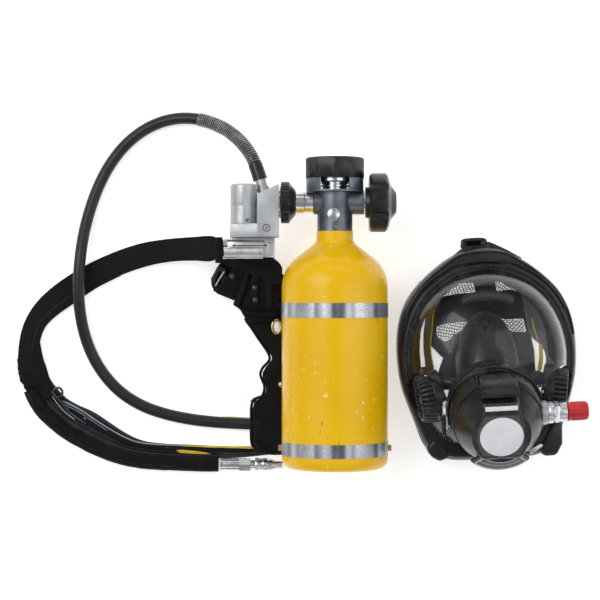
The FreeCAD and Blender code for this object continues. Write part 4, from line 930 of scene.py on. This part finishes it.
def make_reducer():
    """Raised details of the reducer, clip and valve."""
    own(curved_plate("reducer_stripe", "y", np.linspace(97, 133, 20), np.linspace(1, 33, 12),
                     (-52.5, 66.5, 14.45, 14.45), (-52.5, 66.5, 13.6, 13.6)), ROOT, "satin_silver")
    own(slab("reducer_arrow", [(-51, 98.4), (-46.2, 98.4), (-48.6, 94.8)], 78.9, 80.9, 0.2), ROOT,
        "grey_casting")
    badge = Matrix.Translation((-0.0284, 0.0885, 0.086))
    own(lathe("reducer_badge", [(3.1, -0.2), (3.1, 0.5), (3.6, 0.8), (4.1, 0.5), (4.1, -0.2)], 40, badge),
        ROOT, "grey_casting")
    own(slab("reducer_badge_mark", [(-1.7, -0.9), (-0.7, -1.9), (1.7, 0.9), (0.7, 1.9)], -0.2, 0.45, 0.15,
             badge), ROOT, "grey_casting")
    seam = [(-37.9, 122.6, 86), (-37.9, 108, 86), (-37.9, 93.4, 86), (-45, 92.9, 84.2),
            (-66, 92.9, 84.2)]
    own(tube_piece("reducer_seam", seam[:3], 0.35, 8), ROOT, "satin_silver")
    own(tube_piece("reducer_seam_lower", seam[3:], 0.35, 8), ROOT, "satin_silver")
    halves = ((-62.8, -64.4, -32.6, "clip_plate"), (-29.4, -31, -27.6, ROOT))
    for k, (x, left, right, body) in enumerate(halves):
        own(slab("clip_slot_%d" % k, [(left, 70.3), (right, 70.3), (right, 71.3), (left, 71.3)], 65.6, 66.3,
                 0.2), body, "dark_metal")
        own(lathe("clip_rivet_%d" % k, [(0.01, 0.9), (0.8, 0.8), (1.2, 0.3), (1.3, -0.4), (0.01, -0.4)], 24,
                  Matrix.Translation((x * MM, 0.0708, 0.0661)), close=False), body, "dark_metal")
    own(slab("clip_tab", [(-28, 60.4), (-22.4, 60.4), (-21.8, 61), (-21.8, 73.4), (-22.4, 74),
                          (-28, 74), (-28.6, 73.4), (-28.6, 61)], 65.8, 66.9, 0.5), ROOT, "satin_silver")
    own(curved_plate("clip_roll", "x", np.linspace(-73, -32.6, 12), np.linspace(-58, 38, 16),
                     (64.2, 60.4, 8.6, 7.6), (64.2, 60.2, 7.6, 5.9)), "clip_plate", "polished_plate")
    low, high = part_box("burst_disc_plug")
    plug = Matrix.Translation(((low[0] + high[0]) / 2, (low[1] + high[1]) / 2, high[2] + 0.0002))
    own(lathe("burst_plug_washer", [(0.01, 0.5), (5.6, 0.5), (6.3, 0.1), (6.4, -0.8), (0.01, -0.8)], 48, plug,
              close=False), ROOT, "bright_steel")
    hexagon = [(5.4 * math.cos(math.radians(60 * k + 12)), 5.4 * math.sin(math.radians(60 * k + 12)))
               for k in range(6)]
    own(slab("burst_plug_hex", hexagon, 0.4, 1.9, 0.5, plug), ROOT, "bright_steel")
    vent = Matrix.Translation((0.043, 0.0905, 0.0850))
    own(lathe("vent_screw_ring", [(1.2, -1.4), (1.2, 0.5), (2, 0.7), (2.6, 0.2), (2.6, -1.4)], 24, vent),
        ROOT, "grey_casting")
    own(lathe("vent_screw", [(0.01, 0), (1.1, 0), (1.3, -1.2), (0.01, -1.2)], 6, vent, close=False), ROOT,
        "brass")
    low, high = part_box("gauge_dial")
    dial = frame_at((BOTTLE_X, high[1] / MM + 0.02, AXIS_Z), (0, 1, 0), (1, 0, 0))
    reach = (high[0] - low[0]) / 2 / MM
    for k in range(19):
        turn = dial @ Matrix.Rotation(math.radians(-135 + 15 * k), 4, "Z")
        near = reach - 1.2 - (2.6 if k % 3 == 0 else 1.5)
        tick = [(-0.2, near), (0.2, near), (0.2, reach - 1.2), (-0.2, reach - 1.2)]
        own(slab("dial_tick_%02d" % k, tick, 0, 0.12, 0, turn), ROOT, "black_plastic")


EARS = [MASK_FRAME @ frame_at((side * 66, -43, 78), (side * 0.985, -0.14, 0.10), (0, 1, 0))
        for side in (-1, 1)]


def outline_points(half, scale, z, lowest):
    """The mirrored outline, scaled about the mask's middle, as a smooth line open below the lowest y."""
    right = [(x * scale, (y + 5) * scale - 5, z) for x, y in half]
    left = [(-x, y, h) for x, y, h in reversed(right)]
    line = np.array([p for p in loop_through(right + left, 8) if p[1] > lowest])
    gaps = np.linalg.norm(np.diff(np.vstack([line, line[:1]]), axis=0), axis=1)
    return np.roll(line, -int(np.argmax(gaps)) - 1, axis=0)


def sheet_with_holes(name, outline, holes, low, high, frame_matrix):
    """A flat sheet with openings."""
    data = bpy.data.meshes.new(name)
    shape = bmesh.new()
    for ring in [outline] + holes:
        spots = [shape.verts.new((x * MM, y * MM, low * MM)) for x, y in ring]
        for a, b in zip(spots, spots[1:] + spots[:1]):
            shape.edges.new((a, b))
    bmesh.ops.triangle_fill(shape, edges=list(shape.edges), use_beauty=True, use_dissolve=False)
    thicken(shape, list(shape.faces), high - low)
    shape.to_mesh(data)
    shape.free()
    data.transform(frame_matrix)
    return bpy.data.objects.new(name, data)


def inside(x, y, ring):
    """Whether a point is inside a closed outline."""
    count = False
    for (ax, ay), (bx, by) in zip(ring, ring[1:] + ring[:1]):
        if (ay > y) != (by > y) and x < (bx - ax) * (y - ay) / (by - ay) + ax:
            count = not count
    return count


def mesh_window(name, ring, pitch, turn, z, frame_matrix):
    """Open net inside an outline: a turned grid of cells, each with a strand round it."""
    xs, ys = [p[0] for p in ring], [p[1] for p in ring]
    cx, cy = (min(xs) + max(xs)) / 2, (min(ys) + max(ys)) / 2
    reach = int(max(max(xs) - min(xs), max(ys) - min(ys)) / pitch) + 2
    co, si = math.cos(turn), math.sin(turn)
    data = bpy.data.meshes.new(name)
    shape = bmesh.new()
    spots = {}

    def spot(i, j):
        if (i, j) not in spots:
            bend = 0.35 * math.sin(i * 1.7 + j * 2.3)
            x, y = i * pitch + bend, j * pitch * 0.86 + (i % 2) * pitch * 0.43
            spots[i, j] = shape.verts.new(((cx + x * co - y * si) * MM, (cy + x * si + y * co) * MM, z * MM))
        return spots[i, j]

    for i in range(-reach, reach):
        for j in range(-reach, reach):
            x, y = (i + 0.5) * pitch, (j + 0.5) * pitch * 0.86
            if inside(cx + x * co - y * si, cy + x * si + y * co, ring):
                shape.faces.new((spot(i, j), spot(i + 1, j), spot(i + 1, j + 1), spot(i, j + 1)))
    shape.to_mesh(data)
    shape.free()
    data.transform(frame_matrix)
    piece = bpy.data.objects.new(name, data)
    wire = piece.modifiers.new("strands", "WIREFRAME")
    wire.thickness = 1.5 * MM
    wire.use_even_offset = False
    return piece


NET_OUTLINE = [(-51.4, 58.1), (-57, 30), (-56.8, 8), (-47, -3), (-38.8, -11), (-36, -40),
               (36, -40), (48.5, -13.8), (54.6, 8), (54.6, 34.6), (52, 56), (44, 74),
               (12.3, 82), (-20, 82), (-40, 75)]
NET_WINDOWS = [
    [(-46, 62.6), (-36, 71), (-27, 76.7), (-6.2, 77.4), (-5.1, 65.5), (-27.7, 64.1)],
    [(17.6, 77.6), (29.8, 76.4), (45.6, 69.3), (49, 61), (35.5, 65.9), (18.4, 65.8)],
    [(-50.2, 29.2), (-39.3, 32.3), (-14.8, 33.7), (-16.9, 28.4), (-31, 17.4), (-40.3, 12.1), (-49.9, 18.4)],
    [(-23.5, 19), (-25.5, 13.5), (-33, 0), (-38.5, 1), (-30, 14.5), (-27, 17.6)],
    [(18.6, 36.1), (27.5, 34.2), (46.4, 33.2), (49.3, 18.6), (39.2, 16.4), (36.1, 8.5), (25.3, 25.3)],
]


def make_head_net():
    own(sheet_with_holes("head_net_cloth", NET_OUTLINE, NET_WINDOWS, 5, 6.4, MASK_FRAME), "mask",
        "woven_black", "head_net")
    for k, ring in enumerate(NET_WINDOWS):
        own(mesh_window("head_net_mesh_%d" % k, ring, 3.3, 0.35 + 0.5 * k, 5.8, MASK_FRAME), "mask",
            "woven_black")
        points = [(x, y, 6.3) for x, y in ring]
        own(tube_piece("head_net_hem_%d" % k, loop_through(points, 5), 0.7, 6, frame_matrix=MASK_FRAME),
            "mask", "woven_black")
    bands = [  # straps of the head net in the mask's frame: sections and finish
        ("net_crown_strap", "woven_black", [((-9, 86), (15, 86), 20), ((-7, 76), (17, 76), 8),
                                            ((-5, 60), (18, 60), 6.6), ((-6, 40), (16, 40), 6.6)]),
        ("net_cross_strap", "woven_black", [((-56, 44), (-54, 60), 6.6), ((-20, 40), (-20, 61), 6.8),
                                            ((22, 40), (22, 61), 6.8), ((54, 42), (56, 57), 6.6)]),
        ("net_left_strap", "brown_web", [((-59, 52), (-52, 50), 8), ((-64.6, 28), (-55.5, 29), 7),
                                         ((-66, 6), (-57.5, 5), 8), ((-64, -20), (-54.5, -21), 12),
                                         ((-58, -38), (-48, -37), 16)]),
        ("net_left_strap_edge", "yellow_web", [
            ((-53.4, 49), (-51.8, 49), 7.6), ((-55.9, 28), (-54.4, 28), 7.6),
            ((-58.9, 5), (-57.2, 5), 8.6), ((-56, -20), (-54.6, -20), 12.4)]),
        ("net_right_strap", "yellow_web", [((60.6, 4), (64.4, 4), 14), ((60.2, -9), (65, -9), 14),
                                           ((58.4, -20), (63.2, -21), 14), ((57, -26), (60.6, -27), 14)]),
        ("net_right_edge", "yellow_web", [((54.6, 33), (55.6, 33), 12), ((56.8, 20), (57.8, 20), 12),
                                          ((60.8, 5), (61.8, 4), 14)]),
        ("net_low_left", "woven_black", [((-32, 20), (-22, 22), 7), ((-42, 0), (-30, 3), 8),
                                         ((-50, -18), (-37, -14), 12), ((-54, -34), (-38, -32), 16)]),
        ("net_low_right", "woven_black", [((28, 20), (52, 18), 7), ((34, 2), (56, 0), 8),
                                          ((38, -18), (56, -20), 12),
                                          ((40, -36), (56, -38), 18)]),
    ]
    for name, finish, sections in bands:
        piece = strap(name, sections, 1.5, ripple=0.25, seed=len(name))
        piece.data.transform(MASK_FRAME)
        own(piece, "mask", finish)
    hood = [((40, 76), (60, 72), 8.5), ((46, 56), (71, 54), 8.5), ((48, 36), (78.5, 36), 8.5),
            ((52, 16), (80.5, 14), 9), ((66, -2), (80.5, -6), 12), ((66, -20), (78, -24), 18),
            ((56, -42), (72, -44), 20)]
    piece = strap("hood_flap_right", hood, 1.6, ripple=0.5, seed=9)
    piece.data.transform(MASK_FRAME)
    own(piece, "mask", "hood")
    own(rounded_box("hood_tag", (8.6, 6, 1.6), 0.5, MASK_FRAME @ Matrix.Translation((-0.0778, 0.0235, 0.020))
                    @ Matrix.Rotation(-0.6, 4, "Z")), "mask", "black_rubber")


def make_mask():
    profile = [(17, -13), (26.2, -13), (27, -12.2), (27.1, -4), (26.3, -3.4), (26.1, -2.4), (26.8, -1.8),
               (27, -0.8), (26.8, 2), (26.2, 5), (25.2, 8), (24.2, 10.4), (23.4, 11.3), (22.2, 11.7),
               (21, 11.2), (20.4, 10.2), (20.1, 8.6), (17.6, 8), (17, 2)]
    for k, side in enumerate((-1, 1)):
        tag = "left" if side < 0 else "right"
        own(lathe("voicemitter_" + tag, profile, 240, EARS[k], (30, 1.8, -1.9, 10.6)), "mask",
            "black_plastic", "voicemitter_housings")
        grille = [(0.01, 9.6), (3, 9.5), (6, 9.2), (6.3, 8.2), (8.6, 8.2), (8.8, 9.2), (12.6, 9),
                  (12.9, 8), (15.2, 8), (15.4, 9), (19.8, 8.8), (20, 7), (0.01, 7)]
        own(lathe("voicemitter_face_" + tag, grille, 72, EARS[k], close=False), "mask", "black_plastic",
            "voicemitter_discs")
        lug = [(-6, -24), (-4.5, -30.5), (0, -32.5), (4.5, -30.5), (6, -24)]
        own(slab("voicemitter_lug_" + tag, lug, -5, 3, 1.2,
                 EARS[k] @ Matrix.Rotation(math.radians(90), 4, "Z")), "mask", "black_plastic")
        duct = smooth([(side * x, y, z) for x, y, z in
                       ((56, -30, 74), (47, -29, 77), (38, -31, 80), (29, -35, 82))])
        own(tube_piece("duct_" + tag, duct, 6.6, 28, frame_matrix=MASK_FRAME), "mask", "black_plastic")
        own(tube_piece("duct_collar_" + tag, part_of(duct, 7, 13, 0.6), 7.5, 28, frame_matrix=MASK_FRAME),
            "mask", "black_plastic")

    rims = (("lens_bead", LENS_HALF, 1.045, 63.2, -30, 2.4, 16, 0.8, "black_plastic"),
            ("seal_ridge_0", LENS_HALF, 1.115, 58, 40, 1.6, 12, 1, "black_rubber"),
            ("seal_ridge_1", SEAL_HALF, 0.965, 57, 12, 1.3, 12, 1, "black_rubber"))
    for name, half, scale, z, lowest, radius, count, flat, finish in rims:
        own(tube_piece(name, outline_points(half, scale, z, lowest), radius, count, flat, MASK_FRAME), "mask",
            finish)

    loop = loop_through([(-17.5, 111.8, 42.2), (2.8, 111.8, 42.2), (4.6, 115.6, 42), (2.4, 119.2, 41.6),
                         (-16.6, 119.2, 41.6), (-18.8, 115.6, 42)], 6)
    own(tube_piece("crown_loop", np.vstack([loop, loop[:2]]), 2.2, 12, 0.8, MASK_FRAME), "mask",
        "black_rubber")
    crown = [(-42, 95), (-34, 100.5), (-26, 107), (-20.5, 111.4), (4.6, 111.4), (6.4, 118), (15, 114),
             (29, 106.5), (44, 97), (30, 92), (-30, 92)]
    own(slab("crown_web", crown, 38, 47, 3.4, MASK_FRAME, 5), "mask", "black_rubber")
    piece = strap("crown_strap", [((-17, 121), (3, 121), 33), ((-17, 112), (3, 112), 32),
                                  ((-15, 100), (2, 100), 26)], 1.8, seed=2)
    piece.data.transform(MASK_FRAME)
    own(piece, "mask", "woven_black")
    own(lathe("nose_cup_nub", [(1.6, -1), (1.8, 1.2), (2.8, 1.6), (3.8, 1), (4, -1)], 28,
              MASK_FRAME @ Matrix.Translation((-0.0027, 0.0300, 0.0665)) @ Matrix.Rotation(-0.5, 4, "X")),
        "mask", "black_rubber")
    right = [(56, -88), (66, -70), (74, -72), (73, -100), (66, -112), (52, -112), (48, -104)]
    own(slab("chin_lug_right", right, 22, 66, 4, MASK_FRAME, 5), "mask", "black_rubber")
    own(slab("chin_tag", [(36, -104), (50, -98), (52, -101), (39, -109)], 66.2, 68.6, 0.6, MASK_FRAME),
        "mask", "polished_plate")
    left = [(-50, -90), (-62, -88), (-70, -97), (-66, -107), (-56, -113), (-44, -108)]
    own(slab("chin_lug_left", left, 22, 58, 4, MASK_FRAME, 5), "mask", "black_rubber")
    own(rounded_box("port_lever", (4.6, 22, 6), 1.6,
                    PORT_FRAME @ Matrix.Translation((-0.0535, -0.012, 0.008))),
        "mask", "black_plastic")
    own(rounded_box("port_clip_block", (5, 14, 7), 1.4,
                    PORT_FRAME @ Matrix.Translation((-0.0525, 0.004, 0.003))), "mask", "bright_steel")
    rim = [(47, -3), (47.4, -0.4), (48.6, 0.2), (49.8, -0.6), (50, -3)]
    own(lathe("port_rim", rim, 120, PORT_FRAME), "mask", "black_plastic")


def cover_height(r):
    """The regulator cover's height at a radius."""
    return float(np.interp(r, (0, 24, 30, 38.4, 44.4), (57, 57, 55.6, 42, 31)))


def skirt_patch(name, inner, outer, spread, lift, thick):
    """A flared band round the cover's lower edge, from one (radius, height) to another."""
    rows = []
    for a in np.radians(np.linspace(-90 - spread, -90 + spread, int(2 * spread))):
        share = np.linspace(0, 1, 8)
        reach = inner[0] + (outer[0] - inner[0]) * share
        rise = inner[1] + (outer[1] - inner[1]) * share + lift
        top = [(r * math.cos(a), r * math.sin(a), h) for r, h in zip(reach, rise)]
        low = [(r * math.cos(a), r * math.sin(a), h - thick) for r, h in zip(reach[::-1], rise[::-1])]
        rows.append(top + low)
    return grid(name, rows, ring=True, caps=True, frame_matrix=PORT_FRAME)


def make_regulator():
    rows = []
    for y in np.linspace(-26.5, 36, 48):
        half = float(np.interp(y, (-26.5, -18, -4, 10, 20, 29, 36), (20, 24.6, 27, 25.5, 21.4, 18.2, 18.8)))
        crest = float(np.interp(y, (-26.5, -23, 24, 31, 36), (56.2, 57.7, 57.7, 56.4, 53.6)))
        top, low = [], []
        for u in np.linspace(-1, 1, 25):
            x = u * half
            floor_z = cover_height(math.hypot(x, y)) - 1.0
            drop = max(abs(u) - 0.86, 0) / 0.14
            top.append((x, y, max(crest - 1.6 * drop ** 2, floor_z)))
            low.append((x, y, min(floor_z, crest - 2.2)))
        rows.append(top + low[::-1])
    own(grid("cover_panel", rows, ring=True, caps=True, frame_matrix=PORT_FRAME), "regulator", "gloss")
    own(lathe("round_label", [(0.01, 58.5), (21.2, 58.5), (21.8, 58.2), (22, 57.6), (0.01, 57.6)], 96,
              PORT_FRAME, close=False), "regulator", "label_white")
    strip = PORT_FRAME @ Matrix.Translation((0, 0.0315, 0.0563)) @ Matrix.Rotation(-0.32, 4, "X")
    own(rounded_box("blank_strip", (32.5, 4.6, 1.2), 0.5, strip), "regulator", "label_white")
    skirts = (  # name, inner and outer radius and height, half angle, lift, thickness, finish
        ("cover_skirt", (29.5, 55.2), (45.6, 44.6), 41, 0, 5, "black_plastic"),
        ("blank_band", (31.4, 53.95), (44.4, 45.4), 36, 0.25, 0.5, "label_white"),
        ("blank_band_upper", (32.2, 53.43), (37.4, 50.01), 34.6, 0.45, 0.5, "black_plastic"),
        ("blank_band_lower", (38.2, 49.48), (43.6, 45.93), 35, 0.45, 0.5, "black_plastic"),
        ("cover_lip", (44.2, 27.2), (45.6, 26.8), 155, 0.3, 0.9, "black_plastic"))
    for name, inner, outer, spread, lift, thick, finish in skirts:
        own(skirt_patch(name, inner, outer, spread, lift, thick), "regulator", finish)
    top = [(48.9, 16), (49.3, 24), (49.2, 32.2), (47.9, 37), (46.1, 41.9), (43.6, 45.8), (41.9, 48)]
    rows = []
    for k, (y, z) in enumerate(top):
        shrink = 1.2 if k in (0, len(top) - 1) else 0.0
        xs = np.linspace(-15.6 + shrink, 15.6 - shrink, 18)
        bulge = 0.9 * (1 - (np.abs(xs) / 15.7) ** 6)
        upper = [(x, y + b * 0.6, z + b * 0.5) for x, b in zip(xs, bulge)]
        lower = [(x, y - 1.4, z - 1) for x in xs[::-1]]
        rows.append(upper + lower)
    own(grid("button_pad", rows, ring=True, caps=True, frame_matrix=PORT_FRAME), "donning_button",
        "black_rubber")

    side_frame = PORT_FRAME @ frame_at((0, 0, 12), (1, 0, 0), (0, 0, 1))
    knob = [(3.2, 72.3), (9, 72.3), (9.8, 72.9), (9.9, 74.6), (9.2, 75.4), (9.2, 76.2), (9.9, 77),
            (9.9, 79), (9.9, 84), (9.8, 89), (9.6, 91), (8.9, 92.9), (7.6, 94), (4, 94.3),
            (0.01, 94.3)]
    own(lathe("purge_knob_shell", knob, 144, side_frame, (12, 1.1, 76.5, 91.5), close=False), "purge_knob",
        "red_knob", "purge_knob")
    union = (  # name, profile, sides, finish
        ("union_barrel", [(9.2, 52.4), (11, 52.4), (11.4, 53), (11.4, 57.2), (10.6, 58), (9.2, 58.2)], 96,
         "polished_plate"),
        ("union_nut", [(9.1, 59.4), (10.6, 59.6), (10.9, 60.4), (10.9, 63.4), (10.4, 64.2), (9.1, 64.2)], 6,
         "polished_plate"),
        ("union_boss", [(8, 44), (12, 44), (12.4, 45), (12.4, 50.8), (11.6, 52), (8, 52)], 80,
         "satin_silver"))
    for name, profile, sides, finish in union:
        own(lathe(name, profile, sides, side_frame), "regulator", finish)


MATS = make_materials()
make_stage()
make_hose()
make_sleeve()
dress()
make_belts()
make_pads()
make_reducer()
make_head_net()
make_mask()
make_regulator()
